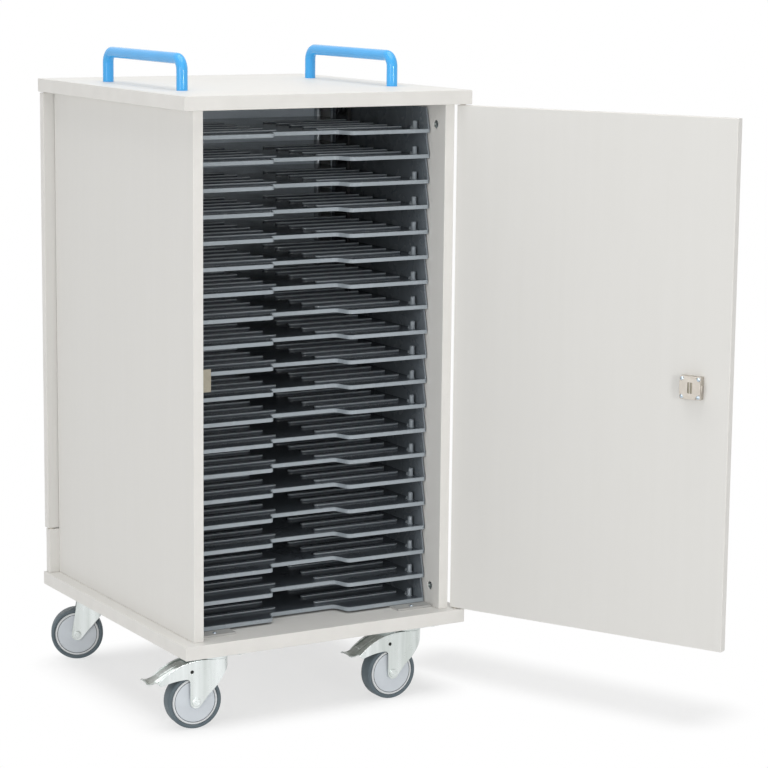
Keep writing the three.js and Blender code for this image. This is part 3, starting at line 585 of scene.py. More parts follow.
def dust_group():
    """Mask of thin dust on faces that look up."""
    inputs = {"Vector": "Vector", "Scale": "Float", "Amount": "Float"}
    tree, given, result = group("Dust", inputs, "Mask", "Float")
    normal = node(tree, "NewGeometry").outputs["Normal"]
    up = spread(tree, node(tree, "SeparateXYZ", {"Vector": normal}).outputs["Z"], 0.5, 1)
    specks = spread(tree, noise(tree, given["Vector"], given["Scale"], 7), 0.35, 0.75)
    both = maths(tree, "MULTIPLY", up, specks)
    feed(tree, maths(tree, "MULTIPLY", both, given["Amount"]), result)
    return tree


MOTTLE = mottle_group()
GRAIN = grain_group()
SMUDGE = smudge_group()
SCUFFS = scuff_group()
DUST = dust_group()
SCUFF_SCALE = 60
DUST_SCALE = 35
DUST_SHADE = (0.62, 0.6, 0.56)
SMUDGE_SCALE = 1.7  # smudges for each patch of shade
GRAIN_STRENGTH = 0.5


def placed(tree, shared, vector, **values):
    """Result of a node group in a material, with its own values."""
    return node(tree, "Group", {"Vector": vector, **values}, node_tree=shared).outputs[0]


def finish(
    name,
    light,
    dark,
    patches,
    rough,
    grain,
    relief,
    metallic=0.0,
    coat=0.0,
    specular=0.5,
    stretch=(1, 1, 1),
    dust=0.0,
    scuffs=0.0,
    worn=(0.6, 0.6, 0.6),
    streaked=False,
):
    """A finish of two shades in patches, with wandering gloss, fine relief, scratches and dust.

    patches and grain are per metre, rough is the least and the most roughness, relief the height of
    the grain, and stretch draws the grain out along an axis, with the shades if it is streaked.
    """
    material = bpy.data.materials.new(name)
    material.use_nodes = True
    tree = material.node_tree
    where = node(tree, "TexCoord").outputs["Object"]
    drawn = node(tree, "Mapping", {"Vector": where, "Scale": stretch}).outputs["Vector"]
    ground = drawn if streaked else where
    colour = placed(tree, MOTTLE, ground, Scale=patches, Light=(*light, 1), Dark=(*dark, 1))
    if scuffs:
        marks = placed(tree, SCUFFS, where, Scale=SCUFF_SCALE, Amount=scuffs)
        colour = mixed(tree, marks, colour, (*worn, 1))
    if dust:
        film = placed(tree, DUST, where, Scale=DUST_SCALE, Amount=dust)
        colour = mixed(tree, film, colour, (*DUST_SHADE, 1))
    gloss = placed(tree, SMUDGE, where, Scale=patches * SMUDGE_SCALE, Low=rough[0], High=rough[1])
    bumps = placed(tree, GRAIN, drawn, Scale=grain, Strength=GRAIN_STRENGTH, Distance=relief)
    shader = tree.nodes["Principled BSDF"]
    shader.inputs["Metallic"].default_value = metallic
    shader.inputs["Coat Weight"].default_value = coat
    shader.inputs["Specular IOR Level"].default_value = specular
    feed(tree, colour, shader.inputs["Base Color"])
    feed(tree, gloss, shader.inputs["Roughness"])
    feed(tree, bumps, shader.inputs["Normal"])
    return material


BOARD = finish(
    "upright board", (0.804, 0.793, 0.763), (0.796, 0.785, 0.754), 60, (0.42, 0.55), 900, 0.05 * MM,
    specular=0.3, stretch=(1, 1, 0.05), streaked=True, scuffs=0.08, worn=(0.68, 0.66, 0.62),
)
LEVEL_BOARD = finish(
    "level board", (0.804, 0.793, 0.763), (0.796, 0.785, 0.754), 60, (0.42, 0.55), 900, 0.05 * MM,
    specular=0.3, stretch=(0.05, 1, 1), streaked=True, scuffs=0.08, worn=(0.68, 0.66, 0.62),
)
EDGE_TAPE = finish(
    "board edging", (0.825, 0.81, 0.775), (0.79, 0.775, 0.74), 22, (0.36, 0.5), 500, 0.05 * MM,
    specular=0.35, scuffs=0.25, worn=(0.66, 0.64, 0.6),
)
# The same board as the cabinet's, painted a little darker: painted shade on the open door.
DOOR_SHADED_BOARD = finish(
    "door board", (0.768, 0.758, 0.73), (0.76, 0.75, 0.721), 60, (0.42, 0.55), 900, 0.05 * MM,
    specular=0.3, stretch=(1, 1, 0.05), streaked=True, scuffs=0.06, worn=(0.68, 0.66, 0.62),
)
# The trays are one grey plastic, painted in five tones that stand for the light and shade on it. This
# lighter tone is painted light on the lips, which face the light.
TRAY_LIT = finish(
    "moulded tray plastic", (0.36, 0.405, 0.44), (0.325, 0.368, 0.4), 14, (0.22, 0.32), 700,
    0.03 * MM, scuffs=0.2, worn=(0.44, 0.46, 0.48),
)
# Much lighter tone for the back walls: painted light from the front. Its dust is real.
TRAY_PAINTED_LIGHT = finish(
    "pale tray plastic", (0.71, 0.79, 0.86), (0.67, 0.75, 0.82), 14, (0.25, 0.34), 700, 0.03 * MM,
    dust=0.03,
)
# Middle tone: painted shade on the side walls, darker than the lit lip, and lighter than the floor on
# the ribs' sides.
TRAY_HALF_SHADE = finish(
    "shaded tray plastic", (0.196, 0.224, 0.25), (0.182, 0.209, 0.234), 14, (0.22, 0.32), 700,
    0.03 * MM,
)
# Near-white tone on rib rims and corner posts: painted highlights.
TRAY_HIGHLIGHT = finish(
    "glossy tray edge", (0.78, 0.84, 0.89), (0.74, 0.8, 0.85), 14, (0.18, 0.26), 700, 0.01 * MM,
    metallic=0.2,
)
# Darkest tone for the floors and rib fields: painted deep shade inside the trays. Its dust is real.
TRAY_DEEP_SHADE = finish(
    "glossy tray floor", (0.134, 0.154, 0.178), (0.119, 0.138, 0.16), 14, (0.17, 0.25), 700,
    0.015 * MM, coat=0.2, dust=0.02,
)
BLUE_PAINT = finish(
    "blue powder coat", (0.065, 0.455, 0.94), (0.057, 0.43, 0.89), 18, (0.09, 0.14), 300, 0.005 * MM,
    coat=0.2, specular=0.35,
)
# Light and dark shades drawn out in upright streaks: painted reflection bands on the plating.
ZINC = finish(
    "bright zinc plating", (0.83, 0.87, 0.865), (0.58, 0.62, 0.6), 50, (0.25, 0.35), 260, 0.006 * MM,
    metallic=1.0, stretch=(1, 1, 0.07), streaked=True, scuffs=0.3, worn=(0.62, 0.63, 0.62),
)
# The fork's zinc painted darker: painted shade on the pedal under the base. Its scuffs and dust are
# wear.
PEDAL_SHADED_ZINC = finish(
    "dull zinc plating", (0.56, 0.595, 0.58), (0.4, 0.435, 0.42), 50, (0.26, 0.4), 300, 0.05 * MM,
    metallic=1.0, stretch=(0.4, 1, 1), scuffs=0.5, worn=(0.74, 0.75, 0.74), dust=0.15,
)
HUB_LILAC = finish(
    "hub plastic", (0.72, 0.765, 0.81), (0.67, 0.71, 0.755), 30, (0.42, 0.56), 600, 0.1 * MM,
    scuffs=0.25, worn=(0.7, 0.72, 0.74), dust=0.1,
)
HUB_RING = finish(
    "hub rim", (0.84, 0.86, 0.87), (0.78, 0.8, 0.81), 40, (0.3, 0.45), 600, 0.08 * MM,
    scuffs=0.2, worn=(0.6, 0.62, 0.64),
)
# Dark grey for the hub's groove faces: painted shade in the groove.
GROOVE_PAINTED_SHADE = finish(
    "groove shade", (0.2, 0.22, 0.25), (0.15, 0.17, 0.19), 60, (0.5, 0.7), 600, 0.1 * MM,
)
RUBBER = finish(
    "tyre rubber", (0.132, 0.168, 0.19), (0.108, 0.14, 0.16), 40, (0.5, 0.68), 900, 0.16 * MM,
    specular=0.4, scuffs=0.3, worn=(0.24, 0.27, 0.29), dust=0.25,
)
NICKEL = finish(
    "nickel plating", (0.61, 0.57, 0.515), (0.53, 0.49, 0.437), 60, (0.3, 0.44), 500, 0.05 * MM,
    metallic=1.0, stretch=(1, 1, 0.2), scuffs=0.4, worn=(0.8, 0.78, 0.74),
)
BRIGHT_SCREW = finish(
    "bright screw", (0.62, 0.7, 0.76), (0.52, 0.59, 0.65), 120, (0.2, 0.32), 700, 0.06 * MM,
    metallic=1.0,
)
BRONZE = finish(
    "bronzed steel", (0.34, 0.315, 0.255), (0.27, 0.25, 0.2), 60, (0.36, 0.52), 400, 0.1 * MM,
    metallic=1.0, scuffs=0.5, worn=(0.5, 0.47, 0.4),
)
RUNNER_GREY = finish(
    "painted runner", (0.5, 0.5, 0.485), (0.45, 0.45, 0.435), 16, (0.4, 0.55), 600, 0.1 * MM,
    scuffs=0.4, worn=(0.62, 0.61, 0.6),
)
BLACK = finish(
    "black plastic", (0.028, 0.028, 0.03), (0.018, 0.018, 0.02), 30, (0.4, 0.55), 700, 0.15 * MM,
    dust=0.1, scuffs=0.2, worn=(0.08, 0.08, 0.08),
)
# Near black for holes, pockets and the pedal's pin: painted shade in recesses.
PAINTED_SHADE = finish(
    "dark recess", (0.016, 0.015, 0.014), (0.01, 0.01, 0.01), 40, (0.6, 0.8), 500, 0.1 * MM,
)

# Small hardware


def screw(spot, facing):
    """Pan head screw with a cross slot, its head rising along facing."""
    radius, rise = SCREW_RADIUS, SCREW_HEAD
    dome = [(0, rise), (0.55 * radius, 0.93 * rise), (0.9 * radius, 0.6 * rise), (radius, 0), (0, 0)]
    head = spun("screw", dome, Z, steps=20, angle=50)
    wide, narrow, deep, top = 0.6 * radius, 0.13 * radius, 0.45 * rise, 2 * rise
    for x, y in ((wide, narrow), (narrow, wide)):
        cut(head, block("slot", (-x, -y, deep), (x, y, top)))
    pose = facing.to_track_quat("Z", "Y").to_matrix().to_4x4()
    return moved(painted(head, BRIGHT_SCREW), Matrix.Translation(spot) @ pose)


# Cabinet boards


def edged(piece, thin, face_finish):
    """Edging tape round the two large faces of a board that is thin along one axis."""
    edit(piece)
    pick(piece, "FACE", lambda face: abs(face.normal[thin]) > 0.9)
    bpy.ops.mesh.inset(thickness=EDGING, use_individual=True)
    deselect()
    painted(piece, face_finish, EDGE_TAPE)
    return faced(piece, 1, lambda face: not face.select)


def board(name, low, high, face_finish):
    sides = list(high - low)
    return edged(block(name, low, high), sides.index(min(sides)), face_finish)


def fitting_spots():
    """Where the cam fittings sit on the inner faces of the side panels."""
    spots = []
    for side, panel in ((-1, "left_side_panel"), (1, "right_side_panel")):
        low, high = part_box(panel)
        inner = min(low.x, high.x, key=abs)
        for y in (low.y + FITTING_INSET, high.y - FITTING_INSET):
            for z in (low.z + FITTING_RISE, high.z - FITTING_RISE):
                spots.append((side, Vector((inner, y, z))))
    return spots


def make_boards():
    pocket = drum(FITTING_RADIUS, -FITTING_POCKET, FITTING_POCKET)
    for name in ("top_panel", "base_panel", "left_side_panel", "right_side_panel", "rear_lower_panel"):
        level = name in ("top_panel", "base_panel")
        piece = board(name + "_board", *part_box(name), LEVEL_BOARD if level else BOARD)
        panel = {"left_side_panel": -1, "right_side_panel": 1}.get(name)
        tools = [spun("pocket", pocket, X, spot, 32) for side, spot in fitting_spots() if side == panel]
        if name == "right_side_panel":
            tools.append(cam_slot())
        if name == "rear_lower_panel":
            tools.append(inlet_opening())
        rounded(cut(piece, *tools), BOARD_ROUND)
        dress(piece, "cabinet", "board", name)


def cam_slot():
    """Slot in the right panel that the rear door's cam turns into."""
    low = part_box("rear_lock_cam")[0]
    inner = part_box("right_side_panel")[0].x
    axis_x, _, middle = joints["rear_cam_turn"]["pos_m"]
    reach = middle - low.z
    front = low.y - CAM_AIR
    rear = front + 2 * CAM_AIR + CAM_SHEET
    return block(
        "slot", (inner - MM, front, middle - reach), (axis_x + reach + CAM_AIR, rear, middle + reach)
    )


def inlet_opening():
    low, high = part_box("mains_inlet")
    edge = Vector((INLET_LAP, -THROUGH, INLET_LAP))
    return block("opening", low + edge, high - edge)


def make_fittings():
    """Zinc cam fittings with a cross slot, slightly sunk in their pockets."""
    radius = FITTING_RADIUS - FITTING_AIR
    top = FITTING_SINK
    profile = [(0, top), (0.8 * radius, top), (radius, top + SMALL_ROUND), (radius, FITTING_POCKET)]
    profile.append((0, FITTING_POCKET))
    pieces = []
    for side, spot in fitting_spots():
        into = side * X
        cap = spun("fitting", profile, into, spot, 32)
        centre = spot + into * (top + FITTING_SLOT)
        for y, z in ((0.7, 0.15), (0.15, 0.7)):
            half = Vector((MM, y * radius, z * radius))
            cut(cap, block("slot", centre - half, centre + half))
        pieces.append(painted(tidied(cap), ZINC))
    dress(joined("cam_fittings", pieces), "cabinet", "zinc")


# Doors, built closed about their pivots and then turned

rear_low, rear_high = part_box("rear_door")
rear_pivot = Vector(joints["rear_door_hinge"]["pos_m"])
front_pivot = Vector(joints["front_door_hinge"]["pos_m"])
door_hinge_edge = rear_pivot.x - rear_low.x
door_free_edge = rear_pivot.x - rear_high.x
door_inner = rear_pivot.y - rear_low.y
door_outer = rear_pivot.y - rear_high.y
front_open = -math.radians(joints["front_door_hinge"]["range_deg"][0])
FRONT_DOOR = shift(front_pivot.x, front_pivot.y) @ turn(front_open)
REAR_DOOR = shift(rear_pivot.x, rear_pivot.y) @ turn(math.pi)


def make_doors():
    for name, pose in (("front_door", FRONT_DOOR), ("rear_door", REAR_DOOR)):
        low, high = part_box(name)
        piece = board(
            name + "_board",
            Vector((door_free_edge, door_outer, low.z)),
            Vector((door_hinge_edge, door_inner, high.z)),
            DOOR_SHADED_BOARD,
        )
        dress(moved(rounded(piece, BOARD_ROUND), pose), name, "door_board", name)
    for name in ("front_pivot_bottom", "front_pivot_top", "rear_pivot_bottom", "rear_pivot_top"):
        painted(frame["nodes"][name], NICKEL)


def cylinder_face(name, inner, spot):
    """Lock cylinder along Y with a rosette on the door's outer face and a keyhole."""
    seat = door_outer - SEAT
    face = seat - ROSETTE_PROUD
    groove = face + BARREL_GROOVE
    ring = [(BARREL - inset, y) for inset, y in zip(BARREL_RING, (face, groove, groove, face))]
    rim = [(ROSETTE - ROSETTE_EASE, face), (ROSETTE, face + ROSETTE_EASE), (ROSETTE, seat)]
    profile = [(0, face)] + ring + rim + [(BARREL, seat), (BARREL, inner), (0, inner)]
    piece = painted(spun(name, profile, Y, spot, 48, 25), NICKEL, PAINTED_SHADE)
    wide, deep, tall = KEYHOLE
    half = Vector((wide / 2, deep, tall / 2))
    middle = Vector(spot) + face * Y
    # Keyhole walls in painted shade.
    return cut(piece, painted(block("keyhole", middle - half, middle + half), PAINTED_SHADE))


def lock_box():
    """Lock case's corners in the closed door's frame, from where the key turns."""
    key = FRONT_DOOR.inverted() @ Vector(joints["front_key_turn"]["pos_m"])
    low = Vector((key.x - LOCK_HALF, door_inner + SEAT, key.z - LOCK_HALF))
    return low, low + Vector((2 * LOCK_HALF, LOCK_DEPTH, 2 * LOCK_HALF))


def notched(low, high):
    """Square outline in side view whose corners are cut out in quarter rounds."""
    points = []
    for i, (x, z) in enumerate(((high.x, high.z), (low.x, high.z), (low.x, low.z), (high.x, low.z))):
        points += arc((x, z), LOCK_NOTCH, (i + 3) * QUARTER, (i + 2) * QUARTER, 8)
    return points


def lock_cover(low, high):
    """Plate on the lock case, with two slots."""
    under = high.y - LOCK_COVER - LOCK_COVER_SINK
    cover = plate("cover", in_side_view(notched(low, high), under), (high.y - under) * Y)
    painted(cover, NICKEL, BRONZE)
    middle = (low + high) / 2
    half = Vector((LOCK_SLOT[0], 0, LOCK_SLOT[1]))
    for side in (-1, 1):
        spot = Vector((middle.x + side * LOCK_SLOT_APART, high.y, middle.z))
        bar = block("slot", spot - half - LOCK_SLOT_DEPTH * Y, spot + half + MM * Y)
        cut(cover, painted(bar, BRONZE))
    return rounded(cover, FINE_ROUND)


def make_front_lock():
    low, high = lock_box()
    middle = (low + high) / 2
    seat = high.y - LOCK_COVER
    case = block("lock_case_cover", low, (high.x, seat, high.z))
    rounded(painted(case, NICKEL), SMALL_ROUND)
    pieces = [case, lock_cover(low, high)]
    for x in (low.x + LOCK_SCREW_IN, high.x - LOCK_SCREW_IN):
        for z in (low.z + LOCK_SCREW_IN, high.z - LOCK_SCREW_IN):
            pieces.append(screw((x, seat, z), Y))
    moved(joined("lock_case_cover", pieces), FRONT_DOOR)
    dress(case, "front_door", "nickel", "lock_case")

    tip = Vector((low.x - BOLT_PROUD, high.y - BOLT_IN - BOLT.y, middle.z - BOLT.z / 2))
    bolt = block("lock_bolt_bar", tip, tip + BOLT)
    edit(bolt)
    pick(bolt, "EDGE", lambda edge: all(vert.co.x < tip.x + MM for vert in edge.verts))
    bpy.ops.mesh.bevel(offset=BOLT_EASE, segments=2)
    deselect()
    dress(moved(painted(smooth(bolt), NICKEL), FRONT_DOOR), "lock_bolt", "nickel", "lock_bolt")

    key = cylinder_face("key_cylinder_face", low.y + BARREL_REACH, (middle.x, 0, middle.z))
    dress(moved(key, FRONT_DOOR), "key_cylinder", "nickel", "key_cylinder")


def make_strike():
    low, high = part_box("strike_plate")
    inner_x, inner_y = low.x + STRIKE_SHEET, low.y + STRIKE_SHEET
    outline = [
        (low.x, low.y), (high.x, low.y), (high.x, inner_y), (inner_x, inner_y),
        (inner_x, high.y), (low.x, high.y),
    ]
    strike = plate("strike_angle", in_plan(outline, low.z), (high.z - low.z) * Z)
    edit(strike)
    pick(strike, "EDGE", lambda edge: at_rear_end(edge, high.y))
    bpy.ops.mesh.bevel(offset=FINE_ROUND, segments=2)
    deselect()
    rounded(painted(strike, BRONZE), SMALL_ROUND)
    middle = (low + high) / 2
    back, apart = STRIKE_SCREW
    screws = [screw((inner_x, middle.y + back, middle.z + z), X) for z in (-apart, apart)]
    joined("strike_angle", [strike] + screws)
    dress(strike, "cabinet", "strike_bronze", "strike_plate")


def at_rear_end(edge, rear):
    """Whether a level edge lies at the rear end of a piece."""
    start, end = (vert.co for vert in edge.verts)
    return abs(start.z - end.z) < MM and min(start.y, end.y) > rear - MM


def make_rear_lock():
    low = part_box("rear_lock_cam")[0]
    x, _, z = joints["rear_cam_turn"]["pos_m"]
    spot = REAR_DOOR.inverted() @ Vector((x, rear_pivot.y, z))
    axis = (spot.x, 0, spot.z)
    inner = rear_pivot.y - low.y
    lock = cylinder_face("rear_lock_face", inner - CAM_SHEET, axis)
    end = spot.z - (z - low.z)
    outline = [(spot.x - CAM_HALF, end), (spot.x + CAM_HALF, end)]
    outline += arc((spot.x, spot.z), CAM_HALF, 0, math.pi, 10)
    cam = plate("cam", in_side_view(outline, inner - CAM_SHEET), CAM_SHEET * Y)
    rounded(painted(cam, ZINC), SMALL_ROUND)
    profile = mm((0, 0.1), (3.4, 0.1), (4, -0.4), (4, -1), (0, -1))
    nut = painted(spun("nut", profile, Y, (spot.x, inner, spot.z), 6, 10), ZINC)
    joined("rear_lock_face", [lock, cam, nut])
    dress(moved(lock, REAR_DOOR), "rear_lock_cam", "nickel", "rear_lock_cam")


# Trays and what they stand on


def front_line(half, front, push):
    """Tray's front edge in plan, left to right, dipping into the finger recess."""
    mouth, back, depth, ease = RECESS
    y, deep = front + push, front + depth + push
    flank = bezier((mouth, y), (mouth - ease, y), (back + ease, deep), (back, deep), 10)
    right = [Vector((half, y)), Vector((mouth, y))] + flank
    left = [Vector((-point.x, point.y)) for point in right]
    return left + right[::-1]


def rib(spot):
    """Long low rib with pointed, rounded ends, a sunk field and eased edges."""
    x, y, z = spot
    half, end = RIB_WIDTH / 2, RIB_POINT * RIB_WIDTH
    tip = x + RIB_ENDS[1] - RIB_ENDS[0]
    outline = curve((tip - end, y - half), (tip, y - half), (tip, y), 5)
    outline += curve((tip, y), (tip, y + half), (tip - end, y + half), 5)
    outline += curve((x + end, y + half), (x, y + half), (x, y), 5)
    outline += curve((x, y), (x, y - half), (x + end, y - half), 5)
    piece = sunk(plate("rib", in_plan(outline, z), RIB_HEIGHT * Z), RIB_RIM, RIB_SINK)
    rounded(painted(piece, TRAY_DEEP_SHADE, TRAY_HIGHLIGHT, TRAY_HALF_SHADE), RIB_ROUND, 2, 50)
    # Sides take the painted half-shade tone and the rim's top the painted highlight; the sunk field
    # keeps the painted deep shade.
    faced(piece, 2, lambda face: abs(face.normal.z) < 0.5)
    return faced(piece, 1, lambda face: face.normal.z > 0.2 and face.center.z > z + RIB_HEIGHT - MM)


def peg(spot):
    """Round peg with a domed head and a low bump beside it."""
    radius, height, bump = PEG_RADIUS, PEG_HEIGHT, PEG_BUMP
    head = [(0, height), (0.6 * radius, 0.985 * height), (0.9 * radius, 0.93 * height)]
    foot = [(radius, 0.85 * height), (radius, PEG_FOOT), (1.3 * radius, 0), (0, 0)]
    dome = [(0, 2 * bump), (0.7 * bump, 1.7 * bump), (bump, bump), (1.2 * bump, 0), (0, 0)]
    post = spun("peg", head + foot, Z, spot, 20, 50)
    return [post, spun("bump", dome, Z, Vector(spot) + PEG_BUMP_BACK * Y, 16, 60)]


def tray_shell(low, high, top):
    """Floor, back wall, front lip and side walls of a tray."""
    half = high.x
    rear = [Vector((half, high.y)), Vector((-half, high.y))]
    outline = in_plan(front_line(half, low.y, LIP[1]) + rear, low.z + FLOOR[0])
    floor = smooth(plate("tray", outline, (FLOOR[1] - FLOOR[0]) * Z))
    lip = traced("lip", in_plan(front_line(half, low.y, 0), low.z))
    pull_edges(LIP[1] * Y)
    bpy.ops.mesh.select_all(action="SELECT")
    bpy.ops.mesh.remove_doubles(threshold=MERGE)
    pull_faces(LIP[0] * Z)
    rounded(tidied(lip), LIP_ROUND, 3, 60)
    wall_end = high.y - WALL_SHORT
    side_view = [(low.y, low.z), (low.y, low.z + LIP[0]), (low.y + WALL_SLANT, high.z)]
    side_view += [(wall_end, high.z), (wall_end, low.z)]
    walls = []
    for side in (-1, 1):
        outline = [(side * half, y, z) for y, z in side_view]
        walls.append(rounded(plate("wall", outline, -side * WALL * X), WALL_ROUND))
    back = block("back", (-BACK_HALF, high.y - WALL, low.z + FLOOR[0]), (BACK_HALF, high.y, top))
    # Floor in painted deep shade, back wall in painted light, lip in the lit tone, side walls in
    # painted half shade.
    pieces = [painted(floor, TRAY_DEEP_SHADE), painted(rounded(back, BACK_ROUND), TRAY_PAINTED_LIGHT)]
    return pieces + [painted(lip, TRAY_LIT)] + [painted(wall, TRAY_HALF_SHADE) for wall in walls]


def tray_posts(low, high, top):
    """Round corner columns at the back wall, and beads at the side walls' rear ends."""
    floor = low.z + FLOOR[1]
    rise = top - floor
    pieces = []
    for side in (-1, 1):
        column = (side * (high.x - COLUMN), high.y - COLUMN, floor)
        wall_end = (side * (high.x - WALL), high.y - WALL_SHORT, floor)
        for spot, radius, steps in ((column, COLUMN, 24), (wall_end, WALL_END, 20)):
            profile = [(0, 0), (radius, 0), (radius, rise - MM), (radius - MM, rise), (0, rise)]
            # Posts take the painted highlight tone, for the bright strips on the round corners.
            pieces.append(painted(spun("post", profile, Z, spot, steps, 50), TRAY_HIGHLIGHT))
    return pieces


def make_trays():
    low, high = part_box("tray_01")
    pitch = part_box("tray_02")[0].z - low.z
    floor = low.z + FLOOR[1]
    top = low.z + pitch - BACK_DROP
    pieces = tray_shell(low, high, top) + tray_posts(low, high, top)
    for row in range(RIB_ROWS):
        right = rib((RIB_ENDS[0], low.y + RIB_FIRST + row * RIB_PITCH, floor))
        pieces += [right, mirrored(right, "rib", X)]
    for part in peg((high.x - WALL - PEG_IN, low.y + PEG_BACK, floor)):
        # Pegs in the lit tone: painted light that stands in part for their glints.
        pieces += [painted(part, TRAY_LIT), mirrored(part, "peg", X)]
    tray = joined("tray_01_moulding", pieces)
    for i in range(2, TRAY_COUNT + 1):
        name = f"tray_{i:02d}"
        copy = copied(tray, name + "_moulding", shift(z=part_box(name)[0].z - low.z))
        dress(copy, "cabinet", "tray_plastic", name)
    dress(tray, "cabinet", "tray_plastic", "tray_01")
    make_clips(low, high.x - WALL, pitch)


def make_clips(low, face, pitch):
    """Black clips on the trays' side walls, with rounded hooks that hold a cable."""
    start, end = low.y + CLIP_BACK[0], low.y + CLIP_BACK[1]
    bottom = low.z + FLOOR[1]
    width = (end - start) / CLIP_HOOKS
    eyes = [(end - (i + 0.5) * width, bottom + CLIP_HEIGHT - width / 2) for i in range(CLIP_HOOKS)]
    outline = [(start, bottom), (end, bottom)]
    for eye in eyes:
        outline += arc(eye, width / 2 - MM, 0, math.pi, 8)
    clip = plate("clip", [(face, y, z) for y, z in outline], -CLIP_DEPTH * X)
    rounded(clip, CLIP_ROUND)
    for y, z in eyes:
        cut(clip, spun("hole", drum(CLIP_HOLE, -THROUGH, THROUGH), X, (face, y, z), 20))
    painted(clip, BLACK)
    dress(joined("cable_clips", stacked(clip, "clip", pitch)), "cabinet", "black_plastic")


def make_runners():
    for name in ("tray_runner_left", "tray_runner_right"):
        low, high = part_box(name)
        piece = sunk(block(name + "_plate", low, high), RUNNER_RIM, RUNNER_SINK)
        rounded(painted(piece, RUNNER_GREY), RUNNER_ROUND)
        middle = (low.x + high.x) / 2
        screws = [screw((middle, low.y + back, high.z - RUNNER_SINK), Z) for back in RUNNER_SCREWS]
        dress(joined(name + "_plate", [piece] + screws), "cabinet", "runner_paint", name)


# Handles


def make_handles():
    for name in ("handle_left", "handle_right"):
        low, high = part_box(name)
        x = (low.x + high.x) / 2
        front, rear = low.y + TUBE, high.y - TUBE
        top = high.z - TUBE - TUBE_BEND
        deselect()
        bpy.ops.mesh.primitive_circle_add(vertices=TUBE_SIDES, radius=TUBE, location=(x, front, low.z))
        piece = bpy.context.object
        bpy.ops.object.transform_apply(location=True, rotation=True, scale=True)
        edit(piece)
        pull_edges((top - low.z) * Z)
        centre = Vector((x, front + TUBE_BEND, top))
        across = (rear - front - 2 * TUBE_BEND) * Y
        bpy.ops.mesh.spin(steps=TUBE_BEND_STEPS, angle=QUARTER, center=centre, axis=X)
        pull_edges(across)
        bpy.ops.mesh.spin(steps=TUBE_BEND_STEPS, angle=QUARTER, center=centre + across, axis=X)
        pull_edges((low.z - top) * Z)
        tidied(piece)
        edit(piece)
        bpy.ops.mesh.select_mode(type="EDGE")
        bpy.ops.mesh.select_all(action="DESELECT")
        bpy.ops.mesh.select_non_manifold()
        bpy.ops.mesh.edge_face_add()
        deselect()
        smooth(tidied(piece), 50)
        piece.name = name + "_tube"
        dress(painted(piece, BLUE_PAINT), "cabinet", "blue_paint", name)


# Casters


def fork_side(braked):
    """Side view of the fork, with a long arm behind the wheel if it is braked."""
    slant, ear_angle = fork_slant()
    rear, top = TRAIL + EAR, CROWN_TOP
    if braked:
        points = [Vector((rear, AXLE)), Vector((rear, ARM_UNDER - ARM_CORNER))]
        points += curve(points[-1], (rear, ARM_UNDER), (rear + ARM_CORNER, ARM_UNDER), 5)
        nose = (ARM_TIP[0] - ARM_NOSE, ARM_TIP[1] - ARM_NOSE)
        points += curve(points[-1], (ARM_SWEEP[0], ARM_UNDER), nose, 8)
        points += arm_top()
    else:
        points = [Vector((rear, AXLE)), Vector((TRAIL, top - FORK_SHOULDER))]
        points += curve(points[-1], (TRAIL, top), (TRAIL - EAR, top), 6)
    front = -CROWN - MM
    points += [Vector((front, top)), Vector((front, slant(front)))]
    return points + arc((TRAIL, AXLE), EAR, ear_angle, 2 * math.pi, 14)[:-1]


def arm_top():
    """Upper edge of the brake arm, from its tip forward to the crown."""
    return [Vector(ARM_TIP)] + curve(ARM_TIP, (ARM_SWEEP[1], CROWN_TOP), (TRAIL - EAR, CROWN_TOP), 12)


def fork_slant():
    """Fork's slanting front edge: its height at x, and the angle where it touches the ear."""
    across, up = -CROWN - TRAIL, APRON_LOW - AXLE
    angle = math.atan2(up, across) + math.acos(EAR / math.hypot(across, up))
    touch = Vector((TRAIL + EAR * math.cos(angle), AXLE + EAR * math.sin(angle)))
    slope = (touch.y - APRON_LOW) / (touch.x + CROWN)
    return lambda x: APRON_LOW + (x + CROWN) * slope, angle


def fork_plan(inset):
    """Plan of the fork's sheet: flat sides that swell into a round apron in front."""
    side, radius = FORK_OUTER - inset, CROWN - inset
    flat = Vector((FORK_FLAT, side))
    wrap = arc((0, 0), radius, math.radians(FORK_WRAP), math.radians(360 - FORK_WRAP), 30)
    leave, arrive = FORK_SWELL
    swell = bezier(flat, flat - leave * X.xy, wrap[0] + arrive * X.xy, wrap[0], 8)
    upper = [Vector((ARM_TIP[0] + FORK_SPARE, side)), flat] + swell
    lower = [Vector((point.x, -point.y)) for point in upper[::-1]]
    return upper + wrap[1:-1] + lower


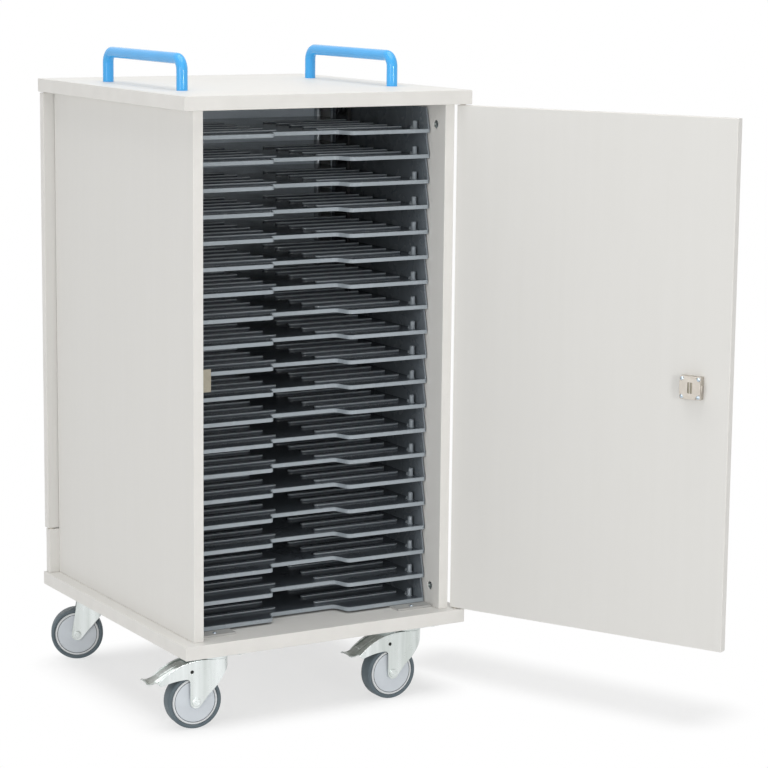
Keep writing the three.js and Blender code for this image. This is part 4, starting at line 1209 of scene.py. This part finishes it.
def caster_fork(braked):
    """Pressed fork: its sheet, crown and rolled rims, with the axle and its riveted heads."""
    outer, inner = fork_plan(0), fork_plan(FORK_OUTER - FORK_INNER)
    foot, rise = FORK_BLANK
    sheet = plate("fork", in_plan(outer + inner[::-1], foot), rise * Z)
    profile = plate("profile", in_side_view(fork_side(braked), -FORK_CUT), 2 * FORK_CUT * Y)
    cut(sheet, profile, operation="INTERSECT")
    if braked:
        radius, half = PIN_HOLE
        cut(sheet, spun("hole", drum(radius, -half, half), Y, (PIN[0], 0, PIN[1]), 24))
    rounded(sheet, FORK_ROUND, 2, 50)
    lean = math.asin(FORK_OUTER / CROWN)
    plan = arc((0, 0), CROWN - CROWN_IN[0], lean, 2 * math.pi - lean, 30)
    edge = FORK_OUTER - CROWN_IN[1]
    plan += [Vector((TRAIL - EAR, -edge)), Vector((TRAIL - EAR, edge))]
    crown = plate("crown", in_plan(plan, CROWN_TOP - CROWN_SHEET), CROWN_SHEET * Z)
    rounded(crown, CROWN_ROUND, 3, 50)
    pieces = [sheet, crown]
    head = mm(
        (0, 3), (3, 3), (3.4, 2.5), (4.2, 2.5), (4.6, 2.9), (6.6, 2.6), (7.8, 1.6), (8, -0.4), (0, -0.4)
    )
    for side in (-1, 1):
        if braked:
            y = side * (FORK_OUTER - ROLL_IN)
            pieces.append(bead("rolled", [(x, y, z - ROLL_DROP) for x, z in arm_top()], ROLL))
        pieces.append(spun("head", head, side * Y, (TRAIL, side * FORK_OUTER, AXLE), 36, 30))
    radius, half = AXLE_ROD
    pieces.append(spun("rod", drum(radius, -half, half), Y, (TRAIL, 0, AXLE), 24))
    return painted(joined("fork", pieces), ZINC)


def caster_plate():
    """Mounting plate with its bolts, the ball race under it and the rivet's end."""
    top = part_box("caster_plate_front_left")[1].z
    under = top - PLATE_SHEET
    outline = round_cornered(*PLATE_HALF, PLATE_CORNER)
    base = rounded(plate("plate", in_plan(outline, under), PLATE_SHEET * Z), PLATE_ROUND)
    race = mm(
        (0, 0), (26, 0), (27, -1), (27, -4), (25.6, -5), (25.6, -6.4), (26.8, -7.2), (26.8, -10.6),
        (25.6, -11.6), (6, -11.6), (6, -15.6), (9, -15.6), (8.4, -17.6), (6, -18.2), (0, -18.2),
    )
    washer = mm((0, 0), (8, 0), (8, -1.2), (0, -1.2))
    bolt = mm((0, -1), (6.4, -1), (6.4, -2.4), (5.4, -3.2), (0, -3.2))
    pieces = [base, spun("race", race, Z, (0, 0, under), 56, 25)]
    for x, y in BOLT_SPOTS:
        pieces.append(spun("washer", washer, Z, (x, y, under), 24))
        pieces.append(spun("bolt", bolt, Z, (x, y, under), 6, 20))
    return painted(joined("plate", pieces), ZINC)


def two_sided(half):
    """A wheel's closed profile from one side of it."""
    other = [(radius, -along) for radius, along in half[::-1] if along]
    return half + other + half[:1]


def from_axle(face):
    return math.hypot(face.center.x - TRAIL, face.center.z - AXLE)


def wheel_hub():
    """Hub with a groove inside its rim."""
    half = mm(
        (6.4, 15.4), (11, 15.2), (12, 14.4), (37.1, 13.7), (37.4, 12.9), (38.1, 12.9), (38.4, 13.9),
        (41, 13.8), (41.8, 13.2), (42, 12.4),
    )
    piece = spun("hub", two_sided(half), Y, (TRAIL, 0, AXLE), 72, 25)
    painted(piece, HUB_LILAC, HUB_RING, GROOVE_PAINTED_SHADE)
    inner, outer = HUB_GROOVE
    faced(piece, 1, lambda face: from_axle(face) > outer)
    # Groove faces painted dark: painted shade in the groove.
    return faced(piece, 2, lambda face: inner < from_axle(face) < outer)


def wheel_tyre():
    half = mm(
        (42.3, 12.4), (42.8, 13.6), (44, 14.8), (45.6, 15.4), (47, 15.2), (48.3, 14.4), (49.3, 13),
        (49.8, 11), (50, 8), (50, 0),
    )
    return painted(spun("tyre", two_sided(half), Y, (TRAIL, 0, AXLE), 80, 40), RUBBER)


def beside(edge, y, reach):
    """Whether an open edge runs along the sheet's side at y, no further back than reach."""
    start, end = (vert.co for vert in edge.verts)
    along = abs(start.x - end.x) > MM
    return edge.is_boundary and along and all(
        abs(spot.y - y) < 0.1 * MM and spot.x < reach for spot in (start, end)
    )


def brake_pedal():
    """Bent sheet with sloped shoulders, ears round its pin and a pressed field."""
    line = mm(
        (41, 111), (50, 116.5), (57, 120), (62, 120.6), (68, 118.8), (82, 112.5), (98, 104.5),
        (108, 99), (114, 96), (121, 94), (127, 94.2), (131, 95.6),
    )
    piece = traced("pedal", in_side_view(line, -PEDAL_FLAT))
    pull_edges(2 * PEDAL_FLAT * Y)
    bpy.ops.mesh.remove_doubles(threshold=MERGE)
    bpy.ops.mesh.normals_make_consistent(inside=False)
    front, rear = PEDAL_FIELD
    pick(piece, "FACE", lambda face: front < face.calc_center_median().x < rear)
    bpy.ops.mesh.inset(thickness=PEDAL_FIELD_RIM, use_individual=False)
    bpy.ops.mesh.inset(thickness=PEDAL_FIELD_SLOPE, use_individual=False)
    bpy.ops.transform.translate(value=PEDAL_PRESS)
    for side in (-1, 1):
        pick(piece, "EDGE", lambda edge: beside(edge, side * PEDAL_FLAT, PEDAL_END))
        pull_edges((0, side * (PEDAL_HALF - PEDAL_FLAT), -PEDAL_SLOPE))
        pick(piece, "EDGE", lambda edge: beside(edge, side * PEDAL_HALF, PEDAL_EARS))
        pull_edges(-PEDAL_EAR_DROP * Z)
    pick(piece, "VERT", lambda vert: vert.co.x > PEDAL_TREAD and abs(vert.co.y) > PEDAL_FLAT + MM)
    bpy.ops.transform.translate(value=0.6 * PEDAL_SLOPE * Z)
    deselect()
    applied(piece, "SOLIDIFY", thickness=PEDAL_SHEET, offset=1)
    rounded(tidied(piece), PEDAL_ROUND, 2, 30)
    radius, half = PIN_SIZE
    rod = spun("pin", drum(radius, -half, half), Y, (PIN[0], 0, PIN[1]), 24)
    # Pin in painted shade, so the hole round it looks dark.
    return joined("pedal", [painted(piece, PEDAL_SHADED_ZINC), painted(rod, PAINTED_SHADE)])


def make_casters():
    plate_master, hub_master, tyre_master = caster_plate(), wheel_hub(), wheel_tyre()
    forks = {True: caster_fork(True), False: caster_fork(False)}
    pedal_master = brake_pedal()
    for corner in ("front_left", "front_right", "rear_left", "rear_right"):
        x, y, _ = joints["swivel_" + corner]["pos_m"]
        axis = joints["roll_" + corner]["axis"]
        pose = shift(x, y) @ turn(math.atan2(-axis[0], axis[1]))
        braked = "front" in corner
        plate_piece = copied(plate_master, "plate_" + corner, shift(x, y))
        dress(plate_piece, "cabinet", "zinc", "caster_plate_" + corner)
        fork = copied(forks[braked], "fork_" + corner, pose)
        dress(fork, "swivel_" + corner, "zinc", "caster_fork_" + corner)
        hub = copied(hub_master, "hub_" + corner, pose)
        dress(hub, "wheel_" + corner, "hub_plastic", "caster_hub_" + corner)
        tyre = copied(tyre_master, "tyre_" + corner, pose)
        dress(tyre, "wheel_" + corner, "tyre_rubber", "caster_tyre_" + corner)
        if braked:
            pedal = copied(pedal_master, "pedal_sheet_" + corner, pose)
            dress(pedal, "pedal_" + corner, "pedal_zinc", "brake_pedal_" + corner)
    for master in (plate_master, hub_master, tyre_master, pedal_master, *forks.values()):
        bpy.data.objects.remove(master)


# Rear compartment


def make_power_strip():
    """Black strip with a socket for each tray, its sockets facing +X."""
    low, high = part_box("power_strip")
    body = rounded(painted(block("power_strip_case", low, high), BLACK), STRIP_ROUND, 3)
    tray_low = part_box("tray_01")[0].z
    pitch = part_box("tray_02")[0].z - tray_low
    first = Vector((high.x, (low.y + high.y) / 2, tray_low + pitch / 2))
    half = SOCKET_HALF * (Y + Z)
    socket = block("socket", first - SOCKET_DEPTH * X - half, first + SOCKET_PROUD * X + half)
    edit(socket)
    pick(socket, "FACE", lambda face: face.normal.x > 0.9)
    bpy.ops.mesh.inset(thickness=SOCKET_RIM)
    pull_faces(-SOCKET_WELL * X)
    bpy.ops.mesh.inset(thickness=SOCKET_FACE_RIM)
    deselect()
    painted(socket, BLACK, PAINTED_SHADE)
    radius, apart = SOCKET_HOLE
    below, half = SOCKET_DRILL
    for side in (-1, 1):
        spot = first + side * apart * Y - below * X
        hole = spun("hole", drum(radius, -half, half), X, spot, 20)
        # Socket holes in painted shade.
        cut(socket, painted(hole, PAINTED_SHADE))
    rounded(socket, FINE_ROUND)
    pieces = [body] + stacked(socket, "socket", pitch)
    dress(joined("power_strip_case", pieces), "cabinet", "black_plastic", "power_strip")


def make_inlet():
    """Mains inlet: a flange on the rear panel, a body behind it, a dark pocket and three pins."""
    low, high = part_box("mains_inlet")
    centre = (low + high) / 2
    rear = high.y
    wide, tall = (high.x - low.x) / 2, (high.z - low.z) / 2
    outline = round_cornered(wide, tall, INLET_CORNER, (centre.x, centre.z))
    flange = plate("inlet", in_side_view(outline, rear - INLET_FLANGE), INLET_FLANGE * Y)
    rounded(flange, INLET_ROUND)
    x, z = INLET_BODY
    body = block(
        "body", (centre.x - x, low.y, centre.z - z), (centre.x + x, rear - MM, centre.z + z)
    )
    cut(flange, body, operation="UNION")
    painted(flange, BLACK, PAINTED_SHADE)
    x, z, deep = INLET_POCKET
    pocket = block(
        "pocket", (centre.x - x, rear - deep, centre.z - z), (centre.x + x, rear + deep, centre.z + z)
    )
    # Pocket in painted shade.
    cut(flange, painted(pocket, PAINTED_SHADE))
    smooth(flange)
    pieces = [flange]
    for x, z in INLET_PINS:
        root = Vector((centre.x + x, rear - INLET_PIN_ROOT, centre.z + z))
        start = root - Vector((INLET_PIN.x / 2, 0, INLET_PIN.z / 2))
        pieces.append(painted(rounded(block("pin", start, start + INLET_PIN), SMALL_ROUND), NICKEL))
    for side in (-1, 1):
        pieces.append(screw((centre.x + side * INLET_SCREW, rear, centre.z), Y))
    dress(joined("mains_inlet_flange", pieces), "cabinet", "black_plastic", "mains_inlet")


# Studio

WHITE = (1, 1, 1, 1)
FLOOR_SHADE = (0.94, 0.94, 0.94, 1)
FLOOR_SIZE = 40
FLOOR_DROP = 0.5 * MM  # below the wheels
# Middle, angle in degrees and half size of the boxes round which the floor keeps its shadow: the cart
# and its open door
SHADOW_ZONES = (
    ((0, 0, 0), 0, (0.24, 0.22, 0)),
    ((0.485, -0.345, 0), -67.6, (0.28, 0.02, 0)),
)
SHADOW_FADE = 0.12  # distance over which it fades
SHADOW_LEAST = 0.6  # how white the floor is inside the boxes
AMBIENT = 0.45
LIGHT_TARGET = (0.1, -0.2, 0.6)
CAMERA_SPOT = (-2.17793, -4.20466, 1.36932)
CAMERA_ANGLES = (-30.4416, 9.6593, 0.5956)  # azimuth, elevation and roll in degrees
CAMERA_LENS = 120.25
CAMERA_SENSOR = 36


def outside_box(tree, where, middle, angle, half):
    """How far a spot on the floor is outside a turned box round the middle."""
    place = {"Vector": where, "Location": middle, "Rotation": (0, 0, math.radians(angle))}
    spot = node(tree, "Mapping", place, vector_type="TEXTURE").outputs["Vector"]
    folded = node(tree, "VectorMath", {0: spot}, operation="ABSOLUTE").outputs["Vector"]
    past = node(tree, "VectorMath", {0: folded, 1: half}, operation="SUBTRACT").outputs["Vector"]
    outside = node(tree, "VectorMath", {0: past, 1: (0, 0, 0)}, operation="MAXIMUM").outputs["Vector"]
    return node(tree, "VectorMath", {0: outside}, operation="LENGTH").outputs["Value"]


def make_floor():
    """White floor that keeps the cart's shadow near it."""
    deselect()
    bpy.ops.mesh.primitive_plane_add(size=FLOOR_SIZE, location=(0, 0, -FLOOR_DROP))
    floor = bpy.context.object
    floor.name = "studio_floor"
    material = bpy.data.materials.new("studio floor")
    material.use_nodes = True
    tree = material.node_tree
    shader = tree.nodes["Principled BSDF"]
    shader.inputs["Base Color"].default_value = FLOOR_SHADE
    shader.inputs["Roughness"].default_value = 0.9
    shader.inputs["Specular IOR Level"].default_value = 0.1
    where = node(tree, "TexCoord").outputs["Object"]
    away = maths(tree, "MINIMUM", *[outside_box(tree, where, *zone) for zone in SHADOW_ZONES])
    ends = (SHADOW_LEAST, 1)
    fade = spread(tree, away, 0, SHADOW_FADE, ends, interpolation_type="SMOOTHSTEP")
    rays = node(tree, "LightPath").outputs
    seen = maths(tree, "MAXIMUM", rays["Is Camera Ray"], rays["Is Glossy Ray"])
    white = node(tree, "Emission").outputs["Emission"]
    parts = {0: maths(tree, "MULTIPLY", fade, seen), 1: shader.outputs["BSDF"], 2: white}
    mix = node(tree, "MixShader", parts).outputs["Shader"]
    feed(tree, mix, tree.nodes["Material Output"].inputs["Surface"])
    painted(floor, material)


def make_world():
    """Even light on the cart, and white where the background is seen."""
    world = bpy.data.worlds.new("studio")
    bpy.context.scene.world = world
    world.use_nodes = True
    tree = world.node_tree
    ambient = tree.nodes["Background"]
    ambient.inputs["Color"].default_value = WHITE
    ambient.inputs["Strength"].default_value = AMBIENT
    white = node(tree, "Background", {"Color": WHITE}).outputs["Background"]
    rays = node(tree, "LightPath").outputs
    seen = maths(tree, "MAXIMUM", rays["Is Camera Ray"], rays["Is Glossy Ray"])
    seen = maths(tree, "MAXIMUM", seen, rays["Is Transmission Ray"])
    mix = node(tree, "MixShader", {0: seen, 1: ambient.outputs["Background"], 2: white})
    feed(tree, mix.outputs["Shader"], tree.nodes["World Output"].inputs["Surface"])


def soft_light(name, spot, size, watts):
    lamp = bpy.data.lights.new(name, "AREA")
    lamp.shape = "DISK"
    lamp.size = size
    lamp.energy = watts
    piece = bpy.data.objects.new(name, lamp)
    bpy.context.scene.collection.objects.link(piece)
    look = Vector(LIGHT_TARGET) - Vector(spot)
    piece.matrix_world = Matrix.Translation(spot) @ look.to_track_quat("-Z", "Y").to_matrix().to_4x4()


def make_lights():
    soft_light("overhead", (-0.2, -0.4, 3.6), 3.0, 49)
    soft_light("front_key", (-2.4, -3.4, 2.0), 2.0, 10)
    soft_light("front_fill", (0.1, -4.6, 1.2), 0.7, 30)
    soft_light("left_fill", (-4.0, -1.8, 1.4), 2.0, 31)


def make_camera():
    """Camera at the photograph's angle."""
    azimuth, elevation, roll = (math.radians(angle) for angle in CAMERA_ANGLES)
    away = math.cos(elevation)
    back = Vector((math.sin(azimuth) * away, -math.cos(azimuth) * away, math.sin(elevation)))
    level = (-back).cross(Z).normalized()
    upright = level.cross(-back)
    right = math.cos(roll) * level + math.sin(roll) * upright
    up = math.cos(roll) * upright - math.sin(roll) * level
    camera = bpy.data.cameras.new("camera")
    camera.lens = CAMERA_LENS
    camera.sensor_width = CAMERA_SENSOR
    piece = bpy.data.objects.new("camera", camera)
    bpy.context.scene.collection.objects.link(piece)
    turned = Matrix((right, up, back)).transposed().to_4x4()
    piece.matrix_world = Matrix.Translation(CAMERA_SPOT) @ turned
    bpy.context.scene.camera = piece


make_boards()
make_fittings()
make_doors()
make_front_lock()
make_strike()
make_rear_lock()
make_trays()
make_runners()
make_handles()
make_casters()
make_power_strip()
make_inlet()
make_floor()
make_world()
make_lights()
make_camera()
bpy.context.scene.view_settings.view_transform = "Standard"
deselect()
